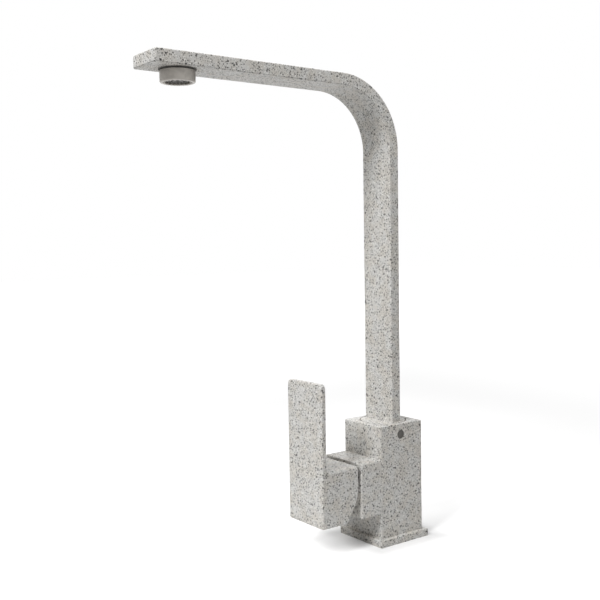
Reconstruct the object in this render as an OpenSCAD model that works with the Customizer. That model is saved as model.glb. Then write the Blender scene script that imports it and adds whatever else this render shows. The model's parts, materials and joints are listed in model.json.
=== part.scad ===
// Single-lever kitchen mixer tap with a square column, a flat L-shaped spout
// and a flat lever in front of the column.
// Millimetres. The origin is the centre of the base plate's underside on the
// worktop. +Z is up, the spout points along -Y and the right-hand side is +X.

/* [Base plate] */
// How far the base plate stands out past the column on each side
base_overhang = 3.5; // [2:0.5:6]
// Thickness of the base plate
base_t = 5.8; // [5.4:0.2:8]
// Radius of the round shank that sits in the base plate
shank_r = 17; // [16.6:0.1:17.4]
// Depth of the seal groove under the base plate
base_seal_t = 2; // [1.6:0.2:2.6]
// Width of the seal ring under the base plate
base_seal_w = 3; // [2:0.5:3.5]

/* [Body] */
// Width and depth of the square column
body_w = 45; // [44.6:0.2:50]
// Height of the column's top above the worktop
body_top = 97; // [96:0.5:115]
// Radius of the small rounding along the outer edges
edge_r = 0.8; // [0.6:0.1:1.6]
// How far the handle boss stands out in front of the column
boss_reach = 20.6; // [20:0.2:26]
// Height of the handle boss
boss_h = 44.2; // [43.6:0.2:46]
// Rounding of the boss's four corners, seen from the front
boss_corner_r = 1.2; // [0.8:0.1:3]
// Height of the cartridge axis above the worktop
axis_z = 48.2; // [47:0.2:50]

/* [Water inlets] */
// Distance of each hose inlet from the middle plane
inlet_x = 8.2; // [7.8:0.1:8.6]
// Place of the hose inlets in front of the column's middle
inlet_y = 7; // [6.6:0.1:7.4]
// Core radius of the thread that takes a hose
inlet_r = 4.5; // [4.2:0.1:4.7]
// Depth of the hose threads
inlet_depth = 14; // [10:0.5:18]
// Radius of the waterway above each hose thread
feed_r = 3; // [2.6:0.1:3.2]
// Place of the fixing stud behind the column's middle
stud_y = 9; // [8.5:0.1:10]
// Core radius of the thread that takes the fixing stud
stud_r = 3.4; // [3:0.1:3.8]
// Depth of the fixing stud's thread
stud_depth = 16; // [10:0.5:20]

/* [Cartridge] */
// Outer radius of the cartridge
cart_r = 17.5; // [17.4:0.05:17.7]
// Depth of the cartridge's floor behind the boss front
cart_depth = 31; // [31:0.1:32]
// Wall thickness of the cartridge housing
cart_wall = 1.2; // [1:0.1:1.4]
// Radius of the neck that carries the lever stem
neck_r = 11; // [10.8:0.1:11.2]
// How far the neck stands out of the boss front
neck_out = 4.5; // [4.2:0.1:4.8]
// Depth of the lever pivot behind the boss front
pivot_depth = 3.1; // [2.8:0.1:3.3]
// Distance from the lever pivot to the middle of the stem's ball
ball_arm = 12.6; // [12.4:0.1:12.8]
// Radius of the ball on the inner end of the stem
ball_r = 2.8; // [2.6:0.1:2.9]
// Radius of the lever's pivot pin
pin_r = 1.5; // [1.2:0.1:1.8]
// Thickness of the fixed ceramic disc
fixed_disc_t = 3.5; // [3:0.1:3.8]
// Radius of the fixed ceramic disc
fixed_disc_r = 14.2; // [13.8:0.1:14.4]
// Thickness of the moving ceramic disc
moving_disc_t = 4; // [3.6:0.1:4.2]
// Radius of the moving ceramic disc
moving_disc_r = 13; // [12.6:0.1:13.2]
// Radius of the hot and cold ports
inlet_port_r = 2.6; // [2.2:0.1:2.8]
// Radius of the mixed-water port
outlet_port_r = 3; // [2.6:0.1:3.3]
// Height of the cartridge nut that is screwed into the boss
nut_h = 7; // [6.6:0.1:7.2]
// Outer radius of the round collar in front of the boss
collar_r = 20.05; // [19.6:0.05:20.4]

/* [Handle] */
// Width of the handle
handle_w = 43.5; // [43:0.1:44.6]
// Gap between the boss front and the back of the handle block
handle_gap = 2.8; // [2.8:0.1:4.5]
// Depth of the handle from its back to the lever's front
handle_depth = 35.5; // [33:0.5:40]
// Thickness of the flat lever plate
plate_t = 4; // [3.5:0.1:5]
// Height of the handle block above the cartridge axis
block_above = 20.8; // [20.4:0.1:22]
// Depth of the handle block below the cartridge axis
block_below = 23; // [22.2:0.1:23.5]
// Height of the lever's tip above the cartridge axis
lever_above = 88.9; // [70:0.1:110]
// Rounding of the lever plate's two top corners
plate_corner_r = 3.8; // [2:0.2:6]
// Rounding of the block's two top corners, seen from the front
block_corner_r = 2; // [1.2:0.2:3]
// Rounding of the handle's two bottom corners, seen from the front
block_foot_r = 1.4; // [0.8:0.2:3]
// Slope of the cut on the lower back of the block, which clears the boss
cut_angle = 31; // [29:0.5:33]
// How far below the cartridge axis the cut's slope meets the block's back
cut_start = 3.7; // [3:0.1:4.5]
// Radius of the curve that eases the block's back into the cut
cut_ease_r = 25; // [10:1:30]
// Wall thickness of the hollow handle block
handle_wall = 3; // [2.6:0.1:3.2]
// Thickness of the square lever stem
stem_w = 8; // [7.6:0.1:8.2]
// Swing of the lever from closed to fully open, in degrees
lift_angle = 25; // [22:0.5:25]

/* [Spout] */
// Width of the spout's flat section
spout_w = 32.8; // [30:0.2:33.4]
// Thickness of the spout's flat section
spout_t = 9.2; // [8.8:0.2:11]
// Wall thickness of the spout tube
tube_wall = 1.2; // [1:0.1:1.4]
// Height of the spout's top above the worktop
spout_top = 373.5; // [300:0.5:420]
// Distance of the spout's tip in front of the column's middle
spout_reach = 211.4; // [180:0.2:240]
// Outside radius of the spout's bend
bend_r = 55.8; // [40:0.2:80]
// Rounding of the two corners at the spout's tip
tip_r = 1.6; // [1.2:0.2:4]

/* [Spout swivel] */
// Thickness of the round disc that carries the spout
disc_t = 3; // [2.6:0.1:3.4]
// How far the disc stands out past the spout's corners
disc_margin = 1.37; // [1:0.01:1.6]
// Width of the round gap between the disc and the column
disc_gap = 0.7; // [0.35:0.05:0.8]
// Radius of the swivel bore in the column
swivel_r = 12; // [11.8:0.1:12.4]
// Length of the swivel spigot below the disc
spigot_len = 22.1; // [22:0.1:23]
// Height of the lock screw below the column's top
lock_drop = 8.7; // [8.6:0.1:8.9]
// How far the lock screw sits in front of the column's middle
lock_y = 0.9; // [0:0.1:1.2]
// Radius of the lock screw's thread
lock_r = 3; // [2.6:0.1:3.1]
// Radius of the hole that shows on the column's side
dot_r = 3.7; // [3.4:0.1:4.2]
// How far the plug in that hole lies below the column's side
plug_recess = 0.1; // [0:0.05:0.5]

/* [Aerator] */
// Distance from the spout's tip to the middle of the aerator
aerator_inset = 25.6; // [20:0.1:30]
// Outer radius of the rubber gasket above the aerator ring
gasket_r = 13.2; // [12.8:0.1:14]
// Thickness of that gasket
gasket_t = 1.1; // [1:0.1:1.4]
// Outer radius of the aerator ring
aerator_r = 12.4; // [12:0.1:13]
// Height of the aerator ring
aerator_h = 9.2; // [9:0.1:10.5]
// Radius of the aerator's mouth
mouth_r = 10; // [9.8:0.05:10.1]
// Core radius of the aerator's thread
thread_r = 10.5; // [10.4:0.05:10.7]
// Number of jets around the aerator insert
jet_count = 24; // [12:2:36]

/* [Clearances] */
// Slip clearance between pieces that are fixed to each other
slip = 0.1; // [0.05:0.01:0.14]
// Running clearance between pieces that turn or slide
run_gap = 0.05; // [0.04:0.01:0.08]
// Clearance between flat faces that pass each other
face_gap = 0.1; // [0.05:0.01:0.15]

/* [Hidden] */
$fn = 64;
far = 400;
sunk = 1;
hair = 0.02;
buried = 6 * edge_r;
coat = [0.76, 0.75, 0.73];
brass_look = [0.78, 0.62, 0.33];
steel_look = [0.70, 0.70, 0.70];
ceramic_look = [0.93, 0.92, 0.88];
plastic_look = [0.88, 0.88, 0.86];
rubber_look = [0.12, 0.12, 0.12];
dark_look = [0.28, 0.27, 0.25];
ring_look = [0.60, 0.59, 0.57];

// Base and column
base_w = body_w + 2 * base_overhang;
base_seal_r = (shank_r + base_w / 2) / 2;
boss_front = -(body_w / 2 + boss_reach);

// Cartridge: depths are measured inwards from the boss front
cavity_gap = 0.15;
cavity_r = cart_r + cavity_gap;
nut_lap = 1.9;
nut_r = cart_r + nut_lap;
nut_room = 2.5;
nut_bore_r = neck_r + nut_room;
nut_top = 0.4;
nut_collar_w = 2.9;
nut_collar_r = nut_bore_r + nut_collar_w;
nut_collar_out = 1;
notch_w = 3;
thread_relief = 0.8;
nut_seat = nut_top + nut_h;
house_r = cart_r - cart_wall;
house_roof_t = 1.6;
house_top = nut_seat + house_roof_t;
house_step_h = 3;
house_collar_d = nut_top + house_step_h;
house_collar_gap = 0.4;
house_collar_r = nut_bore_r - house_collar_gap;
neck_gap = 0.3;
neck_hole_r = neck_r + neck_gap;
flange_d0 = house_top + face_gap;
flange_t = 3.8;
carrier_d0 = flange_d0 + flange_t + face_gap;
floor_flange_t = 3;
floor_step_t = 1.5;
floor_rim_h = 2;
fixed_d0 = cart_depth - floor_flange_t - floor_step_t - fixed_disc_t;
moving_d0 = fixed_d0 - moving_disc_t;
ball_depth = pivot_depth + ball_arm;
disc_travel = ball_arm * sin(lift_angle);
disc_rest = -disc_travel / 2;
ball_gap = 0.12;
slot_gap = 0.15;
swing_gap = 0.3;
slot_x = stem_w / 2 + slot_gap;
slot_z = (pivot_depth + neck_out) * sin(lift_angle) + stem_w / 2 / cos(lift_angle) + swing_gap;
lower_slot_x = ball_r + swing_gap;
lower_slot_z = disc_travel + ball_r + swing_gap;
hub_swell = 0.2;
hub_r = stem_w / 2 + hub_swell;
ball_rod_r = 2;
pin_fit = 0.02;
pin_end_gap = 0.7;
cheek_inset = 0.6;
cheek_x = moving_disc_r - cheek_inset;
cheek_gap = 0.2;
peg_x = 8.5;
peg_r = 1.6;
peg_h = 1.2;
peg_hole_h = peg_h + 2 * face_gap;
mix_r = 5.6;
mix_depth = 2;
mix_shift = 1.6;
inlet_port_x = 5.6;
inlet_port_z = 3;
outlet_port_z = -6.5;
lug_w = 1.2;
lug_h = 1.5;
seal_w = 1.5;
seal_t = 1.6;
port_seal_depth = cart_depth - seal_t;
riser_y = 4.5;
riser_r = 4;

// Spout swivel
disc_r = sqrt(pow(spout_w, 2) + pow(spout_t, 2)) / 2 + disc_margin;
recess_r = disc_r + disc_gap;
disc_z = body_top - disc_t + face_gap;
foot_z = disc_z + disc_t;
spigot_gap = 0.4;
spigot_r = swivel_r - spigot_gap;
spigot_bore_r = 7.5;
spigot_z = disc_z - spigot_len;
spigot_foot_gap = 1;
swivel_floor = spigot_z - spigot_foot_gap;
groove_depth = 2;
groove_r = spigot_r - groove_depth;
lock_tip_step = 1;
lock_tip_r = lock_r - lock_tip_step;
lock_shoulder = 0.6;
lock_tip_gap = 0.7;
lock_side_gap = 0.9;
groove_h = 2 * (lock_tip_r + lock_side_gap);
lock_head_depth = 4;
plug_t = 2;
plug_hole_depth = 3.5;
hex_depth = 3;
hex_share = 0.55;
lock_z = body_top - lock_drop;
ring_r = swivel_r - run_gap;
o_ring_r = 1.1;
o_ring_seat = ring_r - 2 * o_ring_r;
o_ring_pitch = 4.1;
o_ring_first = lock_z - groove_h / 2 - o_ring_pitch;
o_ring_z = [o_ring_first, o_ring_first - o_ring_pitch];
glide_t = 1.55;
glide_seat = ring_r - glide_t;
glide_h = 2;
glide_slit = 1;
glide_land = 0.5;
glide_z = [disc_z - glide_land - glide_h, spigot_z + 2 * glide_land];

// Spout tube
bend_mid = bend_r - spout_t / 2;
bend_y = -bend_mid;
bend_z = spout_top - bend_r;
arm_z = spout_top - spout_t / 2;
arm_under = spout_top - spout_t;
outlet_y = -(spout_reach - aerator_inset);
bush_inset = 1.25;
bush_r = mouth_r - bush_inset;
bush_wall = 1.2;
bush_flange_w = 2;
bush_flange_r = bush_r + bush_flange_w;
tip_wall = 1.6;
bore_edge_r = 0.6;

// Aerator: drops are measured down from the underside of the spout
flange_drop = gasket_t - face_gap;
washer_drop = 3.9;
screen_drop = 5.1;
core_drop = 5.5;
ledge_drop = 6.4;
core_recess = 1.2;
core_end = aerator_h - core_recess;
ring_soft = 0.8;
ring_facet = 0.3 * ring_soft;
jet_rim = 0.9;
jet_len = 2;
jet_rib = 0.9;
jet_step = 1.1;
core_hub_r = 1.6;
screen_pitch = 2.6;
screen_hole_r = 0.8;

// Handle
handle_back = boss_front - handle_gap;
handle_front = handle_back - handle_depth;
plate_back = handle_front + plate_t;
block_low = axis_z - block_below;
block_high = axis_z + block_above;
cut_z = axis_z - cut_start;
cut_y = handle_back - (cut_z - block_low) * tan(cut_angle);
ease_len = cut_ease_r * tan(cut_angle / 2);
hub_wall = 3;
socket_wall = 5;
socket_end = plate_back + socket_wall;
hub_back = 10.6;
hub_end = handle_back - hub_back;
stem_gap = 0.6;
stem_end = socket_end + stem_gap;
screw_y = (socket_end + hub_end) / 2;
grub_r = 2.5;
grub_len = 8;
cap_r = 3.6;
cap_t = 2.2;
cap_recess = 0.2;
cap_room = 0.4;

// Flat outline with four rounded corners, centred on the origin
module rounded_rect(w, h, r) {
    square([w - 2 * r, h], center = true);
    square([w, h - 2 * r], center = true);
    for (x = [-1, 1], y = [-1, 1])
        translate([x * (w / 2 - r), y * (h / 2 - r)])
            circle(r);
}

// Box between two corners with every edge rounded: front_r rounds the edges
// that run from front to back and r all others
module soft_box(low, high, r, front_r) {
    size = high - low;
    translate((low + high) / 2)
        intersection() {
            linear_extrude(size.z, center = true)
                rounded_rect(size.x, size.y, r);
            rotate([90, 0, 0])
                linear_extrude(size.y + 2, center = true)
                    rounded_rect(size.x, size.z, front_r);
            rotate([90, 0, 90])
                linear_extrude(size.x + 2, center = true)
                    rounded_rect(size.y, size.z, r);
        }
}

// Plain block between two corners
module block(low, high) {
    translate(low)
        cube(high - low);
}

// Round bar along X, Y or Z from one place to another
module bar_x(r, x0, x1, y, z) {
    translate([x0, y, z])
        rotate([0, 90, 0])
            cylinder(r = r, h = x1 - x0);
}

module bar_y(r, y0, y1, x, z) {
    translate([x, y0, z])
        rotate([-90, 0, 0])
            cylinder(r = r, h = y1 - y0);
}

module bar_z(r, z0, z1, x, y) {
    translate([x, y, z0])
        cylinder(r = r, h = z1 - z0);
}

// Puts a piece drawn along Z on the cartridge axis: its Z runs inwards from
// the boss front and its Y points down
module on_cartridge() {
    translate([0, boss_front, axis_z])
        rotate([-90, 0, 0])
            children();
}

// Ring between two radii and two heights
module ring(r_out, r_in, z0, z1) {
    translate([0, 0, z0])
        linear_extrude(z1 - z0)
            difference() {
                circle(r_out);
                circle(r_in);
            }
}

// Places the two inlet ports and the mixed-water port of the cartridge
module at_inlet_ports() {
    for (side = [-1, 1])
        translate([side * inlet_port_x, -inlet_port_z])
            children();
}

module at_outlet_port() {
    translate([0, -outlet_port_z])
        children();
}

// Brass body: square column with a square boss in front
module body_blank() {
    half = body_w / 2;
    intersection() {
        soft_box([-half, -half, base_t - buried], [half, half, body_top], edge_r, edge_r);
        block([-far, -far, base_t], [far, far, far]);
    }
    soft_box([-half, boss_front, axis_z - boss_h / 2],
             [half, -half + buried, axis_z + boss_h / 2], edge_r, boss_corner_r);
    bar_z(shank_r, 0, base_t + sunk, 0, 0);
}

module body_waterways() {
    cavity_floor = boss_front + cart_depth;
    feed_top = axis_z + inlet_port_z + feed_r;
    for (side = [-1, 1]) {
        bar_z(inlet_r, -sunk, inlet_depth, side * inlet_x, -inlet_y);
        bar_z(feed_r, 0, feed_top, side * inlet_x, -inlet_y);
        bar_y(inlet_port_r, cavity_floor - sunk, -inlet_y, side * inlet_port_x,
              axis_z + inlet_port_z);
    }
    bar_y(outlet_port_r, cavity_floor - sunk, riser_y, 0, axis_z + outlet_port_z);
    bar_z(riser_r, axis_z + outlet_port_z - riser_r, swivel_floor + sunk, 0, riser_y);
}

module mixer_body() {
    color(coat)
        difference() {
            body_blank();
            on_cartridge() {
                translate([0, 0, -sunk])
                    cylinder(r = cavity_r, h = cart_depth + sunk);
                translate([0, 0, -sunk])
                    cylinder(r = nut_r + slip, h = nut_seat + thread_relief + sunk);
            }
            body_waterways();
            bar_z(stud_r, -sunk, stud_depth, 0, stud_y);
            bar_z(swivel_r, swivel_floor, body_top, 0, 0);
            bar_z(recess_r, body_top - disc_t, body_top + sunk, 0, 0);
            bar_x(lock_r + run_gap, 0, body_w / 2, -lock_y, lock_z);
            bar_x(dot_r, body_w / 2 - plug_hole_depth, body_w / 2 + sunk, -lock_y, lock_z);
        }
}

// Square plate between the column and the worktop
module base_plate() {
    half = base_w / 2;
    color(coat)
        difference() {
            intersection() {
                soft_box([-half, -half, -buried], [half, half, base_t], edge_r, edge_r);
                block([-far, -far, 0], [far, far, far]);
            }
            bar_z(shank_r + slip, -sunk, base_t + sunk, 0, 0);
            ring(base_seal_r + base_seal_w / 2, base_seal_r - base_seal_w / 2,
                 -sunk, base_seal_t);
        }
}

module base_seal() {
    color(rubber_look)
        ring(base_seal_r + base_seal_w / 2, base_seal_r - base_seal_w / 2, 0, base_seal_t);
}

// Plastic shell of the cartridge with the round opening for the neck
module cartridge_housing() {
    color(plastic_look)
        on_cartridge()
            rotate_extrude()
                polygon([[cart_r, nut_seat], [cart_r, cart_depth - floor_flange_t],
                         [house_r, cart_depth - floor_flange_t], [house_r, house_top],
                         [neck_hole_r, house_top], [neck_hole_r, house_collar_d],
                         [house_collar_r, house_collar_d], [house_collar_r, nut_seat]]);
}

// Plastic floor of the cartridge with ports and a rim that holds the disc
module cartridge_base() {
    step_d = cart_depth - floor_flange_t - floor_step_t;
    step_r = house_r - slip;
    color(plastic_look)
        on_cartridge() {
            difference() {
                union() {
                    translate([0, 0, cart_depth - floor_flange_t])
                        cylinder(r = cart_r, h = floor_flange_t);
                    translate([0, 0, step_d])
                        cylinder(r = step_r, h = floor_step_t + sunk);
                    ring(step_r, fixed_disc_r + slip, step_d - floor_rim_h, step_d + sunk / 2);
                    for (side = [-1, 1])
                        translate([side * fixed_disc_r, 0, 0])
                            block([-lug_w, -lug_h, step_d - floor_rim_h],
                                  [lug_w, lug_h, step_d + sunk / 2]);
                }
                translate([0, 0, step_d - floor_rim_h - sunk])
                    linear_extrude(far) {
                        at_inlet_ports() circle(inlet_port_r);
                        at_outlet_port() circle(outlet_port_r);
                    }
                translate([0, 0, port_seal_depth])
                    linear_extrude(far) {
                        at_inlet_ports() circle(inlet_port_r + seal_w);
                        at_outlet_port() circle(outlet_port_r + seal_w);
                    }
            }
        }
}

// Rubber rings that seal the three ports against the cavity's floor
module port_seals() {
    color(rubber_look)
        on_cartridge() {
            at_inlet_ports()
                ring(inlet_port_r + seal_w, inlet_port_r, port_seal_depth, cart_depth);
            at_outlet_port()
                ring(outlet_port_r + seal_w, outlet_port_r, port_seal_depth, cart_depth);
        }
}

// Ceramic disc with the three ports, held by two notches
module fixed_disc() {
    color(ceramic_look)
        on_cartridge()
            translate([0, 0, fixed_d0])
                linear_extrude(fixed_disc_t)
                    difference() {
                        circle(fixed_disc_r);
                        at_inlet_ports() circle(inlet_port_r);
                        at_outlet_port() circle(outlet_port_r);
                        for (side = [-1, 1])
                            translate([side * fixed_disc_r, 0])
                                square(2 * [lug_w + slip, lug_h + slip], center = true);
                    }
}

// Brass nut that presses the cartridge into the boss, with spanner notches
module cartridge_nut() {
    color(brass_look)
        on_cartridge()
            difference() {
                union() {
                    translate([0, 0, nut_top])
                        cylinder(r = nut_r, h = nut_h);
                    translate([0, 0, -nut_collar_out])
                        cylinder(r = nut_collar_r, h = nut_top + nut_collar_out + sunk);
                }
                translate([0, 0, -nut_collar_out - sunk])
                    cylinder(r = nut_bore_r, h = far);
                for (turn = [0 : 60 : 300])
                    rotate(turn)
                        block([nut_bore_r - sunk, -notch_w / 2, -nut_collar_out - sunk],
                              [nut_collar_r + sunk, notch_w / 2, nut_top]);
            }
}

// Round collar that covers the nut and shows between the boss and the handle
module collar_ring() {
    grip_r = nut_collar_r + slip;
    lip_gap = 0.6;
    lip_r = neck_r + lip_gap;
    over_nut = nut_collar_out + face_gap;
    rim_h = 0.6;
    rim_edge = 0.4;
    crown_t = 1.2;
    crown_h = over_nut + crown_t;
    lip_h = 3.7;
    lip_t = 1.3;
    dome_r = (grip_r + lip_r) / 2;
    dome_h = (crown_h + lip_h) / 2 + lip_t / 6;
    color(coat)
        on_cartridge()
            rotate_extrude()
                polygon([[grip_r, 0], [collar_r, 0], [collar_r, -rim_h],
                         [collar_r - rim_edge, -rim_h - rim_edge], [grip_r, -crown_h],
                         [dome_r, -dome_h], [lip_r + rim_edge, -lip_h], [lip_r, -lip_h],
                         [lip_r, -lip_h + lip_t], [nut_bore_r, -over_nut],
                         [grip_r, -over_nut]]);
}

// Set screw whose tip rides in the spigot's groove and keeps the spout in place
module spout_lock_screw() {
    tip_x = groove_r + lock_tip_gap;
    thread_x = swivel_r + lock_shoulder;
    head_x = body_w / 2 - lock_head_depth;
    color(steel_look)
        difference() {
            union() {
                bar_x(lock_tip_r, tip_x, thread_x + sunk, -lock_y, lock_z);
                bar_x(lock_r, thread_x, head_x, -lock_y, lock_z);
            }
            translate([head_x - hex_depth, -lock_y, lock_z])
                rotate([0, 90, 0])
                    cylinder(r = lock_r * hex_share, h = hex_depth + sunk, $fn = 6);
        }
}

// Dark plug that closes the screw hole in the column's side
module screw_hole_plug() {
    face_x = body_w / 2 - plug_recess;
    color(dark_look)
        bar_x(dot_r - run_gap, face_x - plug_t, face_x, -lock_y, lock_z);
}

// Flat section of the spout, across its width and thickness
module spout_section(shrink, r) {
    rounded_rect(spout_w - 2 * shrink, spout_t - 2 * shrink, r);
}

// L-shaped path of the spout: riser, bend and arm up to a given reach
module spout_sweep(shrink, r, low, reach) {
    translate([0, 0, low])
        linear_extrude(bend_z - low)
            spout_section(shrink, r);
    translate([0, bend_y, bend_z])
        rotate([90, 0, 90])
            rotate_extrude(angle = 90)
                translate([bend_mid, 0])
                    rotate(90)
                        spout_section(shrink, r);
    translate([0, bend_y, arm_z])
        rotate([90, 0, 0])
            linear_extrude(reach + bend_y)
                spout_section(shrink, r);
}

// Plan outline of the arm, which rounds the two corners of its tip
module arm_plan() {
    translate([0, 0, arm_under - sunk])
        linear_extrude(spout_t + 2 * sunk)
            translate([0, -spout_reach / 2 + far / 2])
                rounded_rect(spout_w + hair, spout_reach + far, tip_r);
}

module spout_tube() {
    color(coat)
        difference() {
            intersection() {
                spout_sweep(0, edge_r, foot_z, spout_reach);
                union() {
                    arm_plan();
                    block([-far, -far, foot_z - sunk], [far, far, arm_under - sunk]);
                }
            }
            spout_sweep(tube_wall, bore_edge_r, foot_z - sunk, spout_reach - tip_wall);
            bar_z(bush_r, arm_under - sunk, arm_z, 0, outlet_y);
        }
}

// Round plate under the riser, flush in the top of the column
module spout_disc() {
    slot_h = spout_t - 2 * tube_wall;
    color(coat)
        difference() {
            bar_z(disc_r, disc_z, foot_z, 0, 0);
            translate([0, 0, disc_z - sunk])
                linear_extrude(disc_t + 2 * sunk)
                    rounded_rect(2 * spigot_bore_r, slot_h, slot_h / 2 - face_gap);
        }
}

// Turned spigot that the spout swivels on
module spout_spigot() {
    color(brass_look)
        difference() {
            bar_z(spigot_r, spigot_z, disc_z, 0, 0);
            bar_z(spigot_bore_r, spigot_z - sunk, disc_z + sunk, 0, 0);
            ring(swivel_r, groove_r, lock_z - groove_h / 2, lock_z + groove_h / 2);
            for (z = o_ring_z)
                ring(swivel_r, o_ring_seat, z - o_ring_r - slip, z + o_ring_r + slip);
            for (z = glide_z)
                ring(swivel_r, glide_seat, z, z + glide_h);
        }
}

module spigot_o_rings() {
    color(rubber_look)
        for (z = o_ring_z)
            translate([0, 0, z])
                rotate_extrude()
                    translate([o_ring_seat + o_ring_r, 0])
                        circle(o_ring_r);
}

// Two plastic rings, slit at the back, that guide the spigot in its bore
module glide_rings() {
    color(plastic_look)
        for (z = glide_z)
            difference() {
                ring(ring_r, glide_seat, z, z + glide_h);
                block([-glide_slit / 2, 0, z - sunk],
                      [glide_slit / 2, far, z + glide_h + sunk]);
            }
}

// Threaded stub that is brazed into the arm and carries the aerator
module outlet_bush() {
    color(brass_look)
        translate([0, outlet_y, arm_under])
            difference() {
                union() {
                    bar_z(bush_r, -sunk / 2, tube_wall, 0, 0);
                    bar_z(bush_flange_r, -flange_drop, 0, 0, 0);
                    bar_z(thread_r - slip, -washer_drop, -flange_drop + sunk / 2, 0, 0);
                }
                bar_z(bush_r - bush_wall, -far, far, 0, 0);
            }
}

// Rubber gasket that shows as a dark line between the spout and the aerator ring
module outlet_gasket() {
    color(rubber_look)
        translate([0, outlet_y, arm_under])
            ring(gasket_r, bush_flange_r + slip, -gasket_t, 0);
}

// Round metal ring under the spout's tip
module aerator_ring() {
    color(ring_look)
        translate([0, outlet_y, arm_under])
            rotate_extrude()
                polygon([[thread_r, -gasket_t], [aerator_r, -gasket_t],
                         [aerator_r, -aerator_h + ring_soft],
                         [aerator_r - ring_facet, -aerator_h + ring_facet],
                         [aerator_r - ring_soft, -aerator_h], [mouth_r, -aerator_h],
                         [mouth_r, -ledge_drop], [thread_r, -ledge_drop]]);
}

// Ring of slots between two radii, separated by ribs
module jet_slots(r_out, r_in, count, rib) {
    difference() {
        circle(r_out);
        circle(r_in);
        for (i = [0 : count - 1])
            rotate(i * 360 / count)
                translate([0, -rib / 2])
                    square([far, rib]);
    }
}

// Plastic insert that breaks the water into jets
module aerator_core() {
    core_r = mouth_r - slip;
    outer_r = core_r - jet_rim;
    inner_r = outer_r - jet_len - jet_step;
    color(dark_look)
        translate([0, outlet_y, arm_under])
            difference() {
                union() {
                    bar_z(thread_r - slip, -ledge_drop, -core_drop, 0, 0);
                    bar_z(core_r, -core_end, -ledge_drop + sunk / 4, 0, 0);
                }
                translate([0, 0, -core_end - sunk])
                    linear_extrude(far) {
                        jet_slots(outer_r, outer_r - jet_len, jet_count, jet_rib);
                        jet_slots(inner_r, inner_r - jet_len, jet_count / 2, jet_rib);
                        circle(core_hub_r);
                    }
            }
}

// Thin steel screen with round holes in rings
module aerator_screen() {
    color(steel_look)
        translate([0, outlet_y, arm_under - core_drop])
            linear_extrude(core_drop - screen_drop)
                difference() {
                    circle(thread_r - slip);
                    for (k = [1 : 3], i = [0 : 6 * k - 1])
                        rotate(i * 60 / k)
                            translate([k * screen_pitch, 0])
                                circle(screen_hole_r);
                    circle(screen_hole_r);
                }
}

module aerator_washer() {
    color(rubber_look)
        translate([0, outlet_y, arm_under])
            ring(thread_r - slip, bush_r - bush_wall, -screen_drop, -washer_drop);
}

// Rotor of the cartridge: its neck carries the pivot pin and turns with the lever
module stem_carrier() {
    flange_r = house_r - slip;
    flange_end = flange_d0 + flange_t;
    color(plastic_look)
        on_cartridge()
            difference() {
                union() {
                    translate([0, 0, -neck_out])
                        cylinder(r = neck_r, h = neck_out + flange_d0 + sunk);
                    translate([0, 0, flange_d0])
                        cylinder(r = flange_r, h = flange_t);
                    intersection() {
                        translate([0, 0, flange_d0])
                            cylinder(r = flange_r, h = moving_d0 - face_gap - flange_d0);
                        for (side = [-1, 1])
                            block([side * (cheek_x + flange_r) - flange_r, -far, 0],
                                  [side * (cheek_x + flange_r) + flange_r, far, far]);
                    }
                }
                block([-slot_x, -slot_z, -far], [slot_x, slot_z, pivot_depth + hub_r + swing_gap]);
                block([-lower_slot_x, -lower_slot_z, -far],
                      [lower_slot_x, lower_slot_z, flange_end + sunk]);
                bar_x(pin_r + pin_fit, -far, far, 0, pivot_depth);
            }
}

module pivot_pin() {
    reach = neck_r - pin_end_gap;
    color(steel_look)
        on_cartridge()
            bar_x(pin_r, -reach, reach, 0, pivot_depth);
}

// Side outline of the handle block, seen from the right with the front at the left
module block_side() {
    corner = [handle_back, cut_z];
    difference() {
        polygon([[plate_back - sunk, block_low], [cut_y, block_low], corner,
                 [handle_back, block_high], [plate_back - sunk, block_high]]);
        difference() {
            polygon([corner + [0, ease_len], corner + [sunk, 0],
                     corner - ease_len * [sin(cut_angle), cos(cut_angle)]]);
            translate(corner + [-cut_ease_r, ease_len])
                circle(cut_ease_r);
        }
    }
}

// Lever plate and block before they are hollowed
module handle_blank() {
    half = handle_w / 2;
    tip = axis_z + lever_above;
    intersection() {
        soft_box([-half, handle_front, block_low], [half, plate_back, tip], edge_r,
                 block_foot_r);
        rotate([90, 0, 0])
            linear_extrude(far)
                translate([0, (tip - far) / 2])
                    rounded_rect(handle_w + hair, tip + far, plate_corner_r);
    }
    intersection() {
        soft_box([-half, handle_front + edge_r, block_low], [half, handle_back, block_high],
                 edge_r, block_foot_r);
        rotate([90, 0, 0])
            linear_extrude(far)
                translate([0, (block_high - far) / 2])
                    rounded_rect(handle_w + hair, block_high + far, block_corner_r);
        rotate([90, 0, 90])
            linear_extrude(far, center = true)
                block_side();
    }
}

module handle_hollow() {
    half = handle_w / 2 - handle_wall;
    difference() {
        block([-half, plate_back + handle_wall, block_low + handle_wall],
              [half, handle_back + sunk, block_high - handle_wall]);
        bar_y(hub_wall + stem_w / sqrt(2), plate_back, hub_end, 0, axis_z);
        bar_z(hub_wall + grub_r, block_low, axis_z, 0, screw_y);
    }
}

// Hollow handle block with the flat lever on its front
module handle() {
    socket = stem_w / 2 + slip;
    color(coat)
        difference() {
            handle_blank();
            handle_hollow();
            block([-socket, socket_end, axis_z - socket], [socket, handle_back, axis_z + socket]);
            bar_z(grub_r + slip, block_low - sunk, axis_z, 0, screw_y);
            bar_z(cap_r + slip, block_low - sunk, block_low + cap_t + cap_room, 0, screw_y);
        }
}

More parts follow.
